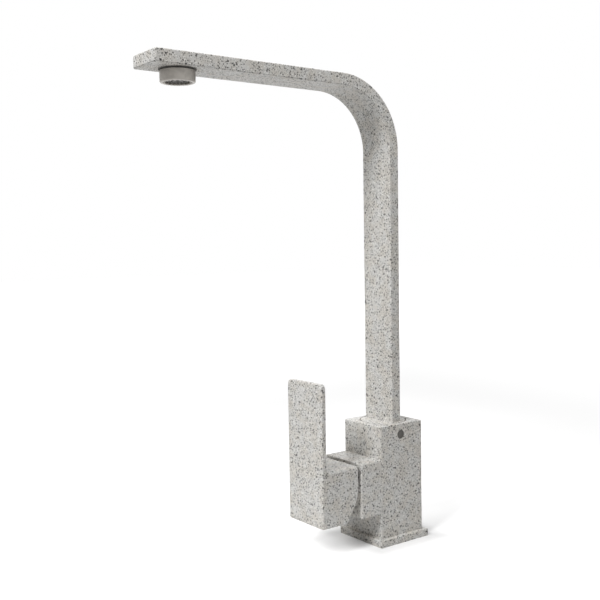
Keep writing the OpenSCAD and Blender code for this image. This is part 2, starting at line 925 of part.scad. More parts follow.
// Square stem with the pivot hub and the ball that moves the disc carrier
module lever_stem() {
    half = stem_w / 2;
    color(steel_look)
        difference() {
            union() {
                block([-half, stem_end, axis_z - half],
                      [half, boss_front + pivot_depth, axis_z + half]);
                on_cartridge() {
                    bar_x(hub_r, -half, half, 0, pivot_depth);
                    translate([0, 0, pivot_depth])
                        cylinder(r = ball_rod_r, h = ball_arm);
                    translate([0, 0, ball_depth])
                        sphere(ball_r);
                }
            }
            on_cartridge()
                bar_x(pin_r + run_gap, -far, far, 0, pivot_depth);
        }
}

// Set screw that clamps the handle on the stem
module handle_grub_screw() {
    top = axis_z - stem_w / 2;
    color(steel_look)
        difference() {
            bar_z(grub_r, top - grub_len, top, 0, screw_y);
            translate([0, screw_y, top - grub_len - sunk])
                cylinder(r = grub_r * hex_share, h = hex_depth + sunk, $fn = 6);
        }
}

module handle_screw_cap() {
    color(dark_look)
        bar_z(cap_r, block_low + cap_recess, block_low + cap_t, 0, screw_y);
}

// Ceramic disc with the mixing hollow, drawn in the closed place
module moving_disc() {
    color(ceramic_look)
        on_cartridge()
            translate([0, -disc_rest, moving_d0])
                difference() {
                    cylinder(r = moving_disc_r, h = moving_disc_t);
                    translate([0, mix_shift, moving_disc_t - mix_depth])
                        cylinder(r = mix_r, h = mix_depth + sunk);
                    for (side = [-1, 1])
                        translate([side * peg_x, 0, -sunk])
                            cylinder(r = peg_r + slip, h = peg_hole_h + sunk);
                }
}

// Plastic slide between the stem's ball and the moving ceramic disc
module disc_carrier() {
    pocket = ball_r + ball_gap;
    width = cheek_x - cheek_gap;
    color(plastic_look)
        on_cartridge()
            difference() {
                union() {
                    intersection() {
                        translate([0, -disc_rest, carrier_d0])
                            cylinder(r = moving_disc_r, h = moving_d0 - carrier_d0);
                        block([-width, -far, 0], [width, far, far]);
                    }
                    for (side = [-1, 1])
                        translate([side * peg_x, -disc_rest, moving_d0 - sunk])
                            cylinder(r = peg_r, h = peg_h + sunk);
                }
                block([-pocket, -pocket, 0], [pocket, pocket, ball_depth + ball_r + ball_gap]);
            }
}

mixer_body();
base_plate();
base_seal();
cartridge_housing();
cartridge_base();
port_seals();
fixed_disc();
cartridge_nut();
collar_ring();
spout_lock_screw();
screw_hole_plug();
spout_tube();
spout_disc();
spout_spigot();
spigot_o_rings();
glide_rings();
outlet_bush();
outlet_gasket();
aerator_ring();
aerator_core();
aerator_screen();
aerator_washer();
stem_carrier();
pivot_pin();
handle();
lever_stem();
handle_grub_screw();
handle_screw_cap();
moving_disc();
disc_carrier();
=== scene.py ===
"""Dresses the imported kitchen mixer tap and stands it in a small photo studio.

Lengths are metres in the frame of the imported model. The origin is the centre of
the base plate's underside, +Z is up, the spout points along -Y and +X is the
right-hand side.
"""

import json
import logging
import math
from collections.abc import Callable, Iterable, Sequence
from dataclasses import dataclass
from enum import Enum

import bmesh
import bpy
from bmesh.types import BMEdge, BMesh
from mathutils import Matrix, Vector


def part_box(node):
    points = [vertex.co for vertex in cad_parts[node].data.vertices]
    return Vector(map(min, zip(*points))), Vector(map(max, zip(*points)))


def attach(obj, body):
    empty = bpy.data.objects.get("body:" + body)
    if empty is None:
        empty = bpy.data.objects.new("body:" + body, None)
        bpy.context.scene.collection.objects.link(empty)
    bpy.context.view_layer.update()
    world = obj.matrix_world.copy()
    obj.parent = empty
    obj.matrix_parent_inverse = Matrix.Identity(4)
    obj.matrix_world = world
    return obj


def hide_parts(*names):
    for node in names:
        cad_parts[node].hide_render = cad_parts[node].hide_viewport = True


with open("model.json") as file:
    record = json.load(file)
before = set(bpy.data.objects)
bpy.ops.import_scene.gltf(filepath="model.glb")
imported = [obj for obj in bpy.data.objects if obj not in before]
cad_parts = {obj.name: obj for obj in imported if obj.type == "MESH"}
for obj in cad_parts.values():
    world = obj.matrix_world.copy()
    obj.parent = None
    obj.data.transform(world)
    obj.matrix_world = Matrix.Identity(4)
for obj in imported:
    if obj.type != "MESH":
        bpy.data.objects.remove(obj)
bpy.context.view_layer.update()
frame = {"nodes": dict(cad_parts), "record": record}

MM = 0.001
# Points within HAIR count as one, and an edge is above a height from SLIM over it.
HAIR = 0.001 * MM
SLIM = 0.01 * MM
FLAT_WEIGHT = 80
LOG = logging.getLogger("mixer_tap")

Colour = tuple[float, float, float, float]
Pair = tuple[float, float]
Triple = tuple[float, float, float]
Material = bpy.types.Material
Mesh = bpy.types.Mesh
Shell = BMesh | Mesh
Socket = bpy.types.NodeSocket
Inputs = dict[str | int, object]


class Body(Enum):
    """The moving bodies that the pieces made here ride on."""

    MIXER = "mixer"
    SPOUT = "spout"
    LEVER = "lever"


class Slot(Enum):
    """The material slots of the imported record."""

    GRANITE = "granite_coat"
    RING = "satin_ring"
    BRASS = "bare_brass"
    STEEL = "bare_steel"
    CERAMIC = "disc_ceramic"
    WHITE = "white_plastic"
    DARK = "dark_plastic"
    RUBBER = "black_rubber"


class Axis(Enum):
    """Directions that a piece can be turned about, as maps from the lathe's own Z."""

    X = Matrix(((0, 0, 1), (1, 0, 0), (0, 1, 0)))
    Y = Matrix(((1, 0, 0), (0, 0, 1), (0, 1, 0)))
    Z = Matrix(((1, 0, 0), (0, 1, 0), (0, 0, 1)))


def tone(red: int, green: int, blue: int) -> Colour:
    """Turns a screen colour from 0 to 255 into the linear colour that shaders take.

    Args:
        red: Red on the screen.
        green: Green on the screen.
        blue: Blue on the screen.

    Returns:
        Linear red, green and blue, with an alpha of 1.
    """

    def linear(value: int) -> float:
        """Linear light of one channel."""
        share = value / 255
        return share / 12.92 if share <= 0.04045 else ((share + 0.055) / 1.055) ** 2.4

    return (linear(red), linear(green), linear(blue), 1.0)


class Board:
    """A node tree with short ways to add nodes and wire them."""

    def __init__(self, tree: bpy.types.NodeTree) -> None:
        """Starts on an emptied tree."""
        self.tree = tree
        tree.nodes.clear()

    def add(self, kind: str, inputs: Inputs | None = None, **settings: object) -> bpy.types.Node:
        """Adds one node.

        Args:
            kind: The node's type.
            inputs: Values or sockets for its inputs, by name or number.
            **settings: Properties of the node itself.

        Returns:
            The new node.
        """
        node = self.tree.nodes.new(kind)
        for name, value in settings.items():
            setattr(node, name, value)
        for key, value in (inputs or {}).items():
            if isinstance(value, bpy.types.NodeSocket):
                self.tree.links.new(value, node.inputs[key])
            else:
                node.inputs[key].default_value = value
        return node

    def out(self, kind: str, inputs: Inputs | None = None, **settings: object) -> Socket:
        """Adds one node and gives its first output."""
        return self.add(kind, inputs, **settings).outputs[0]

    def sums(self, operation: str, *terms: object) -> Socket:
        """Result of one arithmetic step."""
        return self.out("ShaderNodeMath", dict(enumerate(terms)), operation=operation)


class ShaderBoard(Board):
    """A material's node tree, read on Object coordinates."""

    def __init__(self, name: str) -> None:
        """Makes the material and reads the coordinates.

        Args:
            name: The material's name.
        """
        self.material = bpy.data.materials.new(name)
        self.material.use_nodes = True
        super().__init__(self.material.node_tree)
        self.place = self.add("ShaderNodeTexCoord").outputs["Object"]

    def moved(self, base: Socket, **changes: Sequence[float]) -> Socket:
        """Coordinates after a Mapping node with the given Scale, Location or Rotation."""
        return self.out("ShaderNodeMapping", {"Vector": base, **changes})

    def noise(self, feature: float, base: Socket, detail: float = 2.0) -> Socket:
        """Soft noise with features of about the given size, from 0 to 1."""
        inputs = {"Vector": base, "Scale": 1 / feature, "Detail": detail}
        return self.out("ShaderNodeTexNoise", inputs)

    def ease(
        self, value: Socket, source: Pair, target: Pair = (0.0, 1.0), smooth: bool = True
    ) -> Socket:
        """Maps a value from one range to another.

        Args:
            value: The value to map.
            source: Range that it comes from.
            target: Range that it goes to.
            smooth: Whether the change eases in and out.

        Returns:
            The mapped value, held inside the target range.
        """
        inputs = dict(enumerate((value, *source, *target)))
        kind = "SMOOTHSTEP" if smooth else "LINEAR"
        return self.out("ShaderNodeMapRange", inputs, interpolation_type=kind)

    def blend(self, share: object, under: object, over: object) -> Socket:
        """Lays one colour over another by a share from 0 to 1."""
        inputs = {0: share, 6: under, 7: over}
        return self.add("ShaderNodeMix", inputs, data_type="RGBA").outputs[2]

    def relief(self, height: Socket, depth: float) -> Socket:
        """Bump of the given depth for heights from 0 to 1."""
        inputs = {"Height": height, "Distance": depth, "Strength": 1.0}
        return self.out("ShaderNodeBump", inputs)

    def close(self, **inputs: object) -> Material:
        """Ends the material in one surface shader.

        Args:
            **inputs: Shader inputs, with underscores for spaces.

        Returns:
            The finished material.
        """
        named = {name.replace("_", " "): value for name, value in inputs.items()}
        shader = self.out("ShaderNodeBsdfPrincipled", named)
        self.add("ShaderNodeOutputMaterial", {"Surface": shader})
        return self.material


@dataclass(frozen=True)
class Fleck:
    """One kind of fleck in the granite coat.

    Its share is the part of its cells that hold one, and its shift moves its
    pattern away from those of the other kinds.
    """

    colour: Colour
    spacing: float
    radius: float
    share: float
    strength: float
    shift: float


@dataclass(frozen=True)
class GraniteCoat:
    """Matte composite-look coat: pale grey with dark, mid-grey and light flecks."""

    name: str = "granite_coat"
    cool: Colour = tone(213, 212, 209)
    warm: Colour = tone(209, 205, 198)
    mottle: float = 9 * MM
    mottle_range: Pair = (0.35, 0.65)
    wobble: float = 0.26 * MM
    ragged: float = 0.5 * MM
    grain: float = 0.8 * MM
    veil: float = 0.12
    veil_range: Pair = (0.3, 0.75)
    roughness: Pair = (0.5, 0.62)
    roughness_range: Pair = (0.3, 0.7)
    relief: float = 0.03 * MM
    pit: float = -0.4
    turn: Triple = (0.37, 0.61, 0.83)
    soft_edge: float = 0.85
    soft_share: float = 0.04
    fading: Pair = (0.6, 1.0)
    flecks: tuple[Fleck, ...] = (
        Fleck(tone(246, 245, 241), 1.6 * MM, 0.55 * MM, 0.6, 0.8, 0.31),
        Fleck(tone(80, 74, 66), 1.15 * MM, 0.38 * MM, 0.78, 0.85, 0.0),
        Fleck(tone(5, 5, 4), 1.7 * MM, 0.6 * MM, 0.68, 1.0, 0.17),
        Fleck(tone(10, 9, 8), 3.8 * MM, 0.88 * MM, 0.5, 1.0, 0.53),
    )

    def build(self) -> Material:
        """Makes the material.

        Returns:
            The finished material.
        """
        board = ShaderBoard(self.name)
        place = board.moved(board.place, Rotation=self.turn)
        patches = board.ease(board.noise(self.mottle, place), self.mottle_range)
        colour = board.blend(patches, self.cool, self.warm)
        fine = board.noise(self.grain, place, 3.0)
        # A veil of fine grain, in the tone of the mid-grey flecks, lies under all flecks.
        shade = board.ease(fine, self.veil_range, (0.0, self.veil), smooth=False)
        colour = board.blend(shade, colour, self.flecks[1].colour)
        height = fine
        uneven = self.wobbled(board, place)
        for fleck in self.flecks:
            mask = self.fleck_mask(board, uneven, fleck)
            colour = board.blend(mask, colour, fleck.colour)
            height = board.sums("MULTIPLY_ADD", mask, self.pit, height)
        gloss = board.ease(fine, self.roughness_range, self.roughness, smooth=False)
        bump = board.relief(height, self.relief)
        return board.close(Base_Color=colour, Roughness=gloss, Normal=bump)

    def wobbled(self, board: ShaderBoard, place: Socket) -> Socket:
        """Wobbles the coordinates, which gives the flecks ragged edges.

        Args:
            board: The board to draw on.
            place: The even coordinates.

        Returns:
            The uneven coordinates.
        """
        inputs = {"Vector": place, "Scale": 1 / self.ragged, "Detail": 1.0}
        jitter = board.add("ShaderNodeTexNoise", inputs).outputs["Color"]
        inputs = {0: jitter, 1: (0.5, 0.5, 0.5)}
        centred = board.out("ShaderNodeVectorMath", inputs, operation="SUBTRACT")
        inputs = {0: centred, 1: [self.wobble] * 3, 2: place}
        return board.out("ShaderNodeVectorMath", inputs, operation="MULTIPLY_ADD")

    def fleck_mask(self, board: ShaderBoard, base: Socket, fleck: Fleck) -> Socket:
        """Mask that is 1 inside the flecks of one kind.

        Args:
            board: The board to draw on.
            base: The uneven coordinates.
            fleck: The kind of fleck.

        Returns:
            The mask, scaled by the fleck's strength.
        """
        moved = board.moved(base, Location=(fleck.shift, fleck.shift / 3, 0))
        inputs = {"Vector": moved, "Scale": 1 / fleck.spacing}
        cells = board.add("ShaderNodeTexVoronoi", inputs).outputs
        luck = board.add("ShaderNodeSeparateColor", {0: cells["Color"]}).outputs
        size = fleck.radius / fleck.spacing
        edge = board.ease(cells["Distance"], (size, self.soft_edge * size))
        limits = (fleck.share + self.soft_share, fleck.share - self.soft_share)
        kept = board.ease(luck[0], limits, smooth=False)
        depth = board.ease(luck[1], (0.0, 1.0), self.fading, smooth=False)
        strong = board.sums("MULTIPLY", depth, fleck.strength)
        return board.sums("MULTIPLY", board.sums("MULTIPLY", edge, kept), strong)


@dataclass(frozen=True)
class TurnedMetal:
    """Bare or satin metal with fine marks that run round the turning axis."""

    name: str
    colour: Colour
    roughness: Pair
    metallic: float = 1.0
    marks: Triple = (40, 40, 1 / (0.12 * MM))
    marks_range: Pair = (0.25, 0.75)
    relief: float = 0.002 * MM
    stain: float = 5 * MM
    stain_range: Pair = (0.35, 0.7)
    stain_shade: float = 0.82

    def build(self) -> Material:
        """Makes the material.

        Returns:
            The finished material.
        """
        board = ShaderBoard(self.name)
        lines = board.noise(1.0, board.moved(board.place, Scale=self.marks), 3.0)
        cloud = board.noise(self.stain, board.place)
        darker = (*(self.stain_shade * part for part in self.colour[:3]), 1.0)
        share = board.ease(cloud, self.stain_range)
        return board.close(
            Base_Color=board.blend(share, self.colour, darker),
            Metallic=self.metallic,
            Roughness=board.ease(lines, self.marks_range, self.roughness, smooth=False),
            Normal=board.relief(lines, self.relief),
        )


@dataclass(frozen=True)
class MouldedPlastic:
    """Moulded plastic or rubber with a faint spark-eroded grain."""

    name: str
    colour: Colour
    roughness: Pair
    grain: float = 0.35 * MM
    relief: float = 0.012 * MM
    fade: float = 0.12
    bloom: float = 6 * MM
    chalk: float = 0.25
    spread: Pair = (0.3, 0.7)

    def build(self) -> Material:
        """Makes the material.

        Returns:
            The finished material.
        """
        board = ShaderBoard(self.name)
        grain = board.noise(self.grain, board.place)
        cloud = board.ease(board.noise(self.bloom, board.place), self.spread, (0, self.fade))
        paler = (*(part + (1 - part) * self.chalk for part in self.colour[:3]), 1.0)
        return board.close(
            Base_Color=board.blend(cloud, self.colour, paler),
            Roughness=board.ease(grain, self.spread, self.roughness, smooth=False),
            Normal=board.relief(grain, self.relief),
        )


@dataclass(frozen=True)
class LappedCeramic:
    """White alumina with a lapped, slightly glossy face."""

    name: str = "disc_ceramic"
    colour: Colour = tone(236, 233, 224)
    pore: Colour = tone(196, 190, 178)
    pore_size: float = 0.3 * MM
    pore_range: Pair = (0.62, 0.75)
    patch: float = 3 * MM
    patch_range: Pair = (0.3, 0.7)
    roughness: Pair = (0.16, 0.28)
    relief: float = 0.004 * MM

    def build(self) -> Material:
        """Makes the material.

        Returns:
            The finished material.
        """
        board = ShaderBoard(self.name)
        pores = board.ease(board.noise(self.pore_size, board.place, 3.0), self.pore_range)
        cloud = board.noise(self.patch, board.place)
        return board.close(
            Base_Color=board.blend(pores, self.colour, self.pore),
            Roughness=board.ease(cloud, self.patch_range, self.roughness),
            Normal=board.relief(pores, self.relief),
        )


FINISHES: dict[Slot, GraniteCoat | TurnedMetal | MouldedPlastic | LappedCeramic] = {
    Slot.GRANITE: GraniteCoat(),
    Slot.RING: TurnedMetal("satin_ring", tone(174, 169, 162), (0.34, 0.44), metallic=0.5),
    Slot.BRASS: TurnedMetal("bare_brass", tone(206, 170, 104), (0.24, 0.38)),
    Slot.STEEL: TurnedMetal("bare_steel", tone(196, 196, 196), (0.22, 0.34)),
    Slot.CERAMIC: LappedCeramic(),
    Slot.WHITE: MouldedPlastic("white_plastic", tone(226, 226, 221), (0.42, 0.55)),
    Slot.DARK: MouldedPlastic("dark_plastic", tone(74, 71, 66), (0.45, 0.6)),
    Slot.RUBBER: MouldedPlastic("black_rubber", tone(72, 70, 66), (0.6, 0.75)),
}


class ShapeBoard(Board):
    """A Geometry Nodes tree with named sizes, run once on one object."""

    def __init__(self, part: "Assembly", slot: Slot, **more: float) -> None:
        """Opens a tree whose inputs are the part's own numbers.

        Args:
            part: The part that the tree makes.
            slot: The slot of its finish.
            **more: Further sizes.
        """
        super().__init__(bpy.data.node_groups.new(type(part).__name__, "GeometryNodeTree"))
        kinds = {float: "NodeSocketFloat", int: "NodeSocketInt"}
        numbers = {**vars(part), **more}.items()
        self.sizes = {name: value for name, value in numbers if type(value) in kinds}
        self.sizes["finish"] = part.bench.take(slot)
        face = self.tree.interface
        for side in ("INPUT", "OUTPUT"):
            face.new_socket("Geometry", in_out=side, socket_type="NodeSocketGeometry")
        for key, value in self.sizes.items():
            kind = kinds.get(type(value), "NodeSocketMaterial")
            face.new_socket(key, in_out="INPUT", socket_type=kind)
        self.given = self.add("NodeGroupInput").outputs

    def __getitem__(self, key: str) -> Socket:
        """The socket of one named size."""
        return self.given[key]

    def vector(self, x: object = 0.0, y: object = 0.0, z: object = 0.0) -> Socket:
        """A vector from three parts."""
        return self.out("ShaderNodeCombineXYZ", {0: x, 1: y, 2: z})

    def lifted(self, shape: Socket, height: Socket) -> Socket:
        """The shape, moved up."""
        inputs = {"Geometry": shape, "Translation": self.vector(z=height)}
        return self.out("GeometryNodeTransform", inputs)

    def swept(self, line: Socket, section: Socket) -> Socket:
        """A section swept along a line, closed at both ends."""
        inputs = {"Curve": line, "Profile Curve": section, "Fill Caps": True}
        return self.out("GeometryNodeCurveToMesh", inputs)

    def bar(self, length: object, width: object, height: object) -> Socket:
        """A straight-sided bar about the origin."""
        size = self.vector(length, width, height)
        return self.out("GeometryNodeMeshCube", {"Size": size})

    def spread_round(self, item: Socket, count: Socket, radius: Socket) -> Socket:
        """Sets copies of an item round the Z axis, each with its X side outwards.

        Args:
            item: The shape that is copied.
            count: Number of copies.
            radius: Distance of each copy from the axis.

        Returns:
            The copies, as instances.
        """
        ring = self.out("GeometryNodeMeshCircle", {"Vertices": count, "Radius": radius})
        facing = self.out(
            "FunctionNodeAlignRotationToVector",
            {"Vector": self.out("GeometryNodeInputPosition")},
            axis="X",
            pivot_axis="Z",
        )
        inputs = {"Points": ring, "Instance": item, "Rotation": facing}
        return self.out("GeometryNodeInstanceOnPoints", inputs)

    def close(self, shape: Socket, holder: bpy.types.Object) -> Mesh:
        """Ends the tree, runs it on an object and removes that object.

        Args:
            shape: The finished shape, which becomes real geometry with its finish.
            holder: The object whose data the tree starts from.

        Returns:
            The result as a plain mesh.
        """
        solid = self.out("GeometryNodeRealizeInstances", {"Geometry": shape})
        inputs = {"Geometry": solid, "Material": self["finish"]}
        self.add("NodeGroupOutput", {0: self.out("GeometryNodeSetMaterial", inputs)})
        # Sizes are set by the socket's identifier, before the object is first evaluated.
        modifier = holder.modifiers.new(self.tree.name, "NODES")
        modifier.node_group = self.tree
        for item in self.tree.interface.items_tree:
            if item.in_out == "INPUT" and item.name in self.sizes:
                modifier[item.identifier] = self.sizes[item.name]
        mesh = evaluated_mesh(holder)
        bpy.data.objects.remove(holder)
        return mesh


def evaluated_mesh(item: bpy.types.Object) -> Mesh:
    """Copies an object's shape after its modifiers into a plain mesh.

    Args:
        item: The object, which stays as it is.

    Returns:
        The new mesh.
    """
    graph = bpy.context.evaluated_depsgraph_get()
    graph.update()
    return bpy.data.meshes.new_from_object(item.evaluated_get(graph), depsgraph=graph)


def mesh_of(shell: Shell, name: str) -> Mesh:
    """Turns a shell into a mesh.

    Args:
        shell: The shell, which is used up, or a mesh that is already one.
        name: Name of a new mesh.

    Returns:
        The mesh.
    """
    if isinstance(shell, BMesh):
        mesh = bpy.data.meshes.new(name)
        shell.to_mesh(mesh)
        shell.free()
        return mesh
    return shell


def placed(data: BMesh | bpy.types.ID, name: str) -> bpy.types.Object:
    """Puts a shell, a mesh or other data in the scene as an object.

    Args:
        data: What the object shows.
        name: The object's name.

    Returns:
        The new object.
    """
    if isinstance(data, BMesh):
        data = mesh_of(data, name)
    item = bpy.data.objects.new(name, data)
    bpy.context.scene.collection.objects.link(item)
    return item


def joined(*shells: Shell) -> BMesh:
    """Gathers separate shells in one.

    Args:
        *shells: The shells, which are used up.

    Returns:
        One shell that holds them all.
    """
    whole = bmesh.new()
    for shell in shells:
        mesh = mesh_of(shell, "part")
        whole.from_mesh(mesh)
        bpy.data.meshes.remove(mesh)
    return whole


def merged(base: Shell, shells: Iterable[BMesh], operation: str = "DIFFERENCE") -> Mesh:
    """Cuts shells from a base, or adds them to it.

    Args:
        base: The shell that is worked on.
        shells: The cutters or additions.
        operation: The Boolean operation.

    Returns:
        The resulting mesh.
    """
    work = placed(base, "work")
    tools = [placed(shell, "tool") for shell in shells]
    for tool in tools:
        step = work.modifiers.new("step", "BOOLEAN")
        step.operation = operation
        step.solver = "EXACT"
        step.object = tool
    mesh = evaluated_mesh(work)
    for used in (work, *tools):
        bpy.data.objects.remove(used)
    return mesh


def eased_outline(corners: Sequence[Triple], steps: int = 5) -> list[Pair]:
    """Rounds the corners of a closed outline.

    Args:
        corners: Each corner's two coordinates and its rounding radius.
        steps: Straight pieces in a quarter turn of rounding.

    Returns:
        The outline's points in order.
    """
    points: list[Pair] = []
    for index, (x, y, radius) in enumerate(corners):
        if radius <= 0:
            points.append((x, y))
            continue
        here = Vector((x, y))
        before = (Vector(corners[index - 1][:2]) - here).normalized()
        after = (Vector(corners[(index + 1) % len(corners)][:2]) - here).normalized()
        half = before.angle(after) / 2
        middle = here + (before + after).normalized() * radius / math.sin(half)
        start = here + before * radius / math.tan(half) - middle
        end = here + after * radius / math.tan(half) - middle
        sweep = start.angle_signed(end)
        count = max(1, round(steps * abs(sweep) / (math.pi / 2)))
        for step in range(count + 1):
            turned = Matrix.Rotation(-sweep * step / count, 2) @ start
            points.append(tuple(middle + turned))
    return points


def stepped(start: float, *steps: Pair, bore: float = 0.0) -> list[Pair]:
    """Profile of a round bar whose radius changes in steps.

    Args:
        start: Height at which the bar starts.
        *steps: Radius of each stretch and the height at which it ends.
        bore: Radius of a hole along the bar.

    Returns:
        Radius and height of each point.
    """
    points = [(bore, start)]
    for radius, end in steps:
        points += [(radius, points[-1][1]), (radius, end)]
    return [*points, (bore, points[-1][1])]


def lathe(
    profile: Sequence[Pair], centre: Triple = (0, 0, 0), axis: Axis = Axis.Z, steps: int = 96
) -> BMesh:
    """Turns a closed profile about an axis.

    Args:
        profile: Radius and height of each point.
        centre: Place of the profile's zero height on the axis.
        axis: Direction of the turning axis.
        steps: Flat faces round the axis.

    Returns:
        The closed shell, with its faces outwards.
    """
    shell = bmesh.new()
    rings = []
    for radius, height in profile:
        ring = []
        for step in range(steps if radius > 0 else 1):
            angle = math.tau * step / steps
            local = Vector((radius * math.cos(angle), radius * math.sin(angle), height))
            ring.append(shell.verts.new(axis.value @ local + Vector(centre)))
        rings.append(ring)
    for index, ring in enumerate(rings):
        other = rings[(index + 1) % len(rings)]
        for step in range(steps):
            corners = [
                ring[step % len(ring)],
                ring[(step + 1) % len(ring)],
                other[(step + 1) % len(other)],
                other[step % len(other)],
            ]
            unique = list(dict.fromkeys(corners))
            if len(unique) > 2:
                shell.faces.new(unique)
    bmesh.ops.recalc_face_normals(shell, faces=shell.faces)
    return shell


def rod(
    radius: float,
    low: float,
    high: float,
    centre: Triple = (0, 0, 0),
    axis: Axis = Axis.Z,
    steps: int = 96,
) -> BMesh:
    """Round bar, used as a drill and as a boss.

    Args:
        radius: The bar's radius.
        low: Its start along the axis.
        high: Its end along the axis.
        centre: A point on the axis.
        axis: The bar's direction.
        steps: Flat faces round the bar.

    Returns:
        The closed shell.
    """
    return lathe(stepped(low, (radius, high)), centre, axis, steps)


def block(low: Sequence[float], high: Sequence[float]) -> BMesh:
    """Plain six-sided shell, the start of a rounded shape or a cutter.

    Args:
        low: Its lowest corner.
        high: Its highest corner.

    Returns:
        The closed shell.
    """
    shell = bmesh.new()
    size = Vector(high) - Vector(low)
    middle = (Vector(high) + Vector(low)) / 2
    place = Matrix.Translation(middle) @ Matrix.Diagonal((*size, 1))
    bmesh.ops.create_cube(shell, size=1, matrix=place)
    return shell


def side_prism(outline: Sequence[Pair], half_width: float) -> BMesh:
    """Draws a side outline of (y, z) points out to both sides of the middle plane.

    Args:
        outline: Points of the closed outline.
        half_width: Distance of each side from the middle plane.

    Returns:
        The closed shell.
    """
    shell = bmesh.new()
    left, right = (
        [shell.verts.new((side * half_width, y, z)) for y, z in outline] for side in (-1, 1)
    )
    shell.faces.new(left)
    shell.faces.new(right)
    for index in range(len(outline)):
        after = (index + 1) % len(outline)
        shell.faces.new((left[index], left[after], right[after], right[index]))
    bmesh.ops.recalc_face_normals(shell, faces=shell.faces)
    return shell


def soften(
    shell: BMesh, radius: float, chosen: Callable[[BMEdge], bool], steps: int = 4
) -> None:
    """Rounds the chosen edges of a shell.

    Args:
        shell: The shell to change.
        radius: The rounding's radius.
        chosen: Says whether an edge is rounded.
        steps: Flat strips across the rounding.
    """
    bmesh.ops.bevel(
        shell,
        geom=[edge for edge in shell.edges if chosen(edge)],
        offset=radius,
        offset_type="OFFSET",
        segments=steps,
        profile=0.5,
        affect="EDGES",
        clamp_overlap=False,
    )


def runs_back(edge: BMEdge) -> bool:
    """Whether an edge runs straight from front to back."""
    first, last = (vert.co for vert in edge.verts)
    return (first - last).xz.length < HAIR


def is_upright(edge: BMEdge) -> bool:
    """Whether an edge runs straight up."""
    first, last = (vert.co for vert in edge.verts)
    return (first - last).xy.length < HAIR


def is_fold(edge: BMEdge) -> bool:
    """Whether two faces meet at an outward corner of more than 20 degrees."""
    return edge.is_manifold and edge.is_convex and edge.calc_face_angle() > math.radians(20)


def is_above(edge: BMEdge, height: float) -> bool:
    """Whether an edge reaches clear above a height."""
    return any(vert.co.z > height + SLIM for vert in edge.verts)


class Bench:
    """Makes each finish once, turns shells into finished pieces and reports them."""

    def __init__(self) -> None:
        """Starts with no finish and no piece made."""
        self.finishes: dict[Slot, Material] = {}
        self.count = 0

    def take(self, slot: Slot) -> Material:
        """Hands out the finish of a slot, and makes it the first time.

        Args:
            slot: The material slot.

        Returns:
            Its material.
        """
        if slot not in self.finishes:
            self.finishes[slot] = FINISHES[slot].build()
        return self.finishes[slot]

    def finish(
        self,
        shell: Shell,
        name: str,
        body: Body,
        slot: Slot,
        *nodes: str,
        crease: float = 32.0,
    ) -> None:
        """Smooths, dresses and mounts one piece.

        Args:
            shell: The piece's shape.
            name: Its name.
            body: The body that it rides on.
            slot: The material slot of its finish.
            *nodes: CAD nodes that it stands for.
            crease: Angle in degrees from which an edge stays sharp.
        """
        if not isinstance(shell, BMesh):
            shell = joined(shell)
        bmesh.ops.remove_doubles(shell, verts=shell.verts, dist=2 * HAIR)
        piece = placed(shell, name)
        rough = piece.data
        rough.shade_smooth()
        rough.set_sharp_from_angle(angle=math.radians(crease))
        # Weighted normals keep flat faces flat beside their rounded edges.
        even = piece.modifiers.new("even", "WEIGHTED_NORMAL")
        even.keep_sharp = True
        even.weight = FLAT_WEIGHT
        mesh = evaluated_mesh(piece)
        piece.modifiers.clear()
        piece.data = mesh
        bpy.data.meshes.remove(rough)
        mesh.name = name
        mesh.materials.clear()
        mesh.materials.append(self.take(slot))
        for face in mesh.polygons:
            face.material_index = 0
        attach(piece, body.value)
        if nodes:
            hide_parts(*nodes)
        self.count += 1
        self.report(piece, nodes)

    @staticmethod
    def report(piece: bpy.types.Object, nodes: Sequence[str]) -> None:
        """Logs a piece's size, its open edges and how far it departs from its nodes.

        Args:
            piece: The finished piece.
            nodes: CAD nodes that it stands for.
        """
        shell = bmesh.new()
        shell.from_mesh(piece.data)
        triangles = sum(len(face.verts) - 2 for face in shell.faces)
        loose = sum(not edge.is_manifold for edge in shell.edges)
        volume = shell.calc_volume(signed=True) / MM**3
        boxes = [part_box(node) for node in nodes]
        gap = 0.0
        for axis in range(3):
            for side, outermost in enumerate((min, max)):
                reach = outermost(vert.co[axis] for vert in shell.verts)
                given = [box[side][axis] for box in boxes]
                gap = max(gap, abs(reach - outermost(given, default=reach)))
        shell.free()
        text = "%s: %d triangles, %d open edges, %.0f mm3, off its nodes by %.2f mm"
        LOG.info(text, piece.name, triangles, loose, volume, gap / MM)

    def dress_nodes(self) -> None:
        """Gives each CAD node that still shows the finish of its slot in the record."""
        for part in frame["record"]["subparts"]:
            node = frame["nodes"][part["node"]]
            if node.hide_render:
                continue
            slot = Slot(part["material_slot"])
            node.data.materials.clear()
            node.data.materials.append(self.take(slot))
            LOG.info("%s keeps its solid, dressed in %s", node.name, slot.value)


@dataclass
class Assembly:
    """Pieces that are made together on one bench."""

    bench: Bench


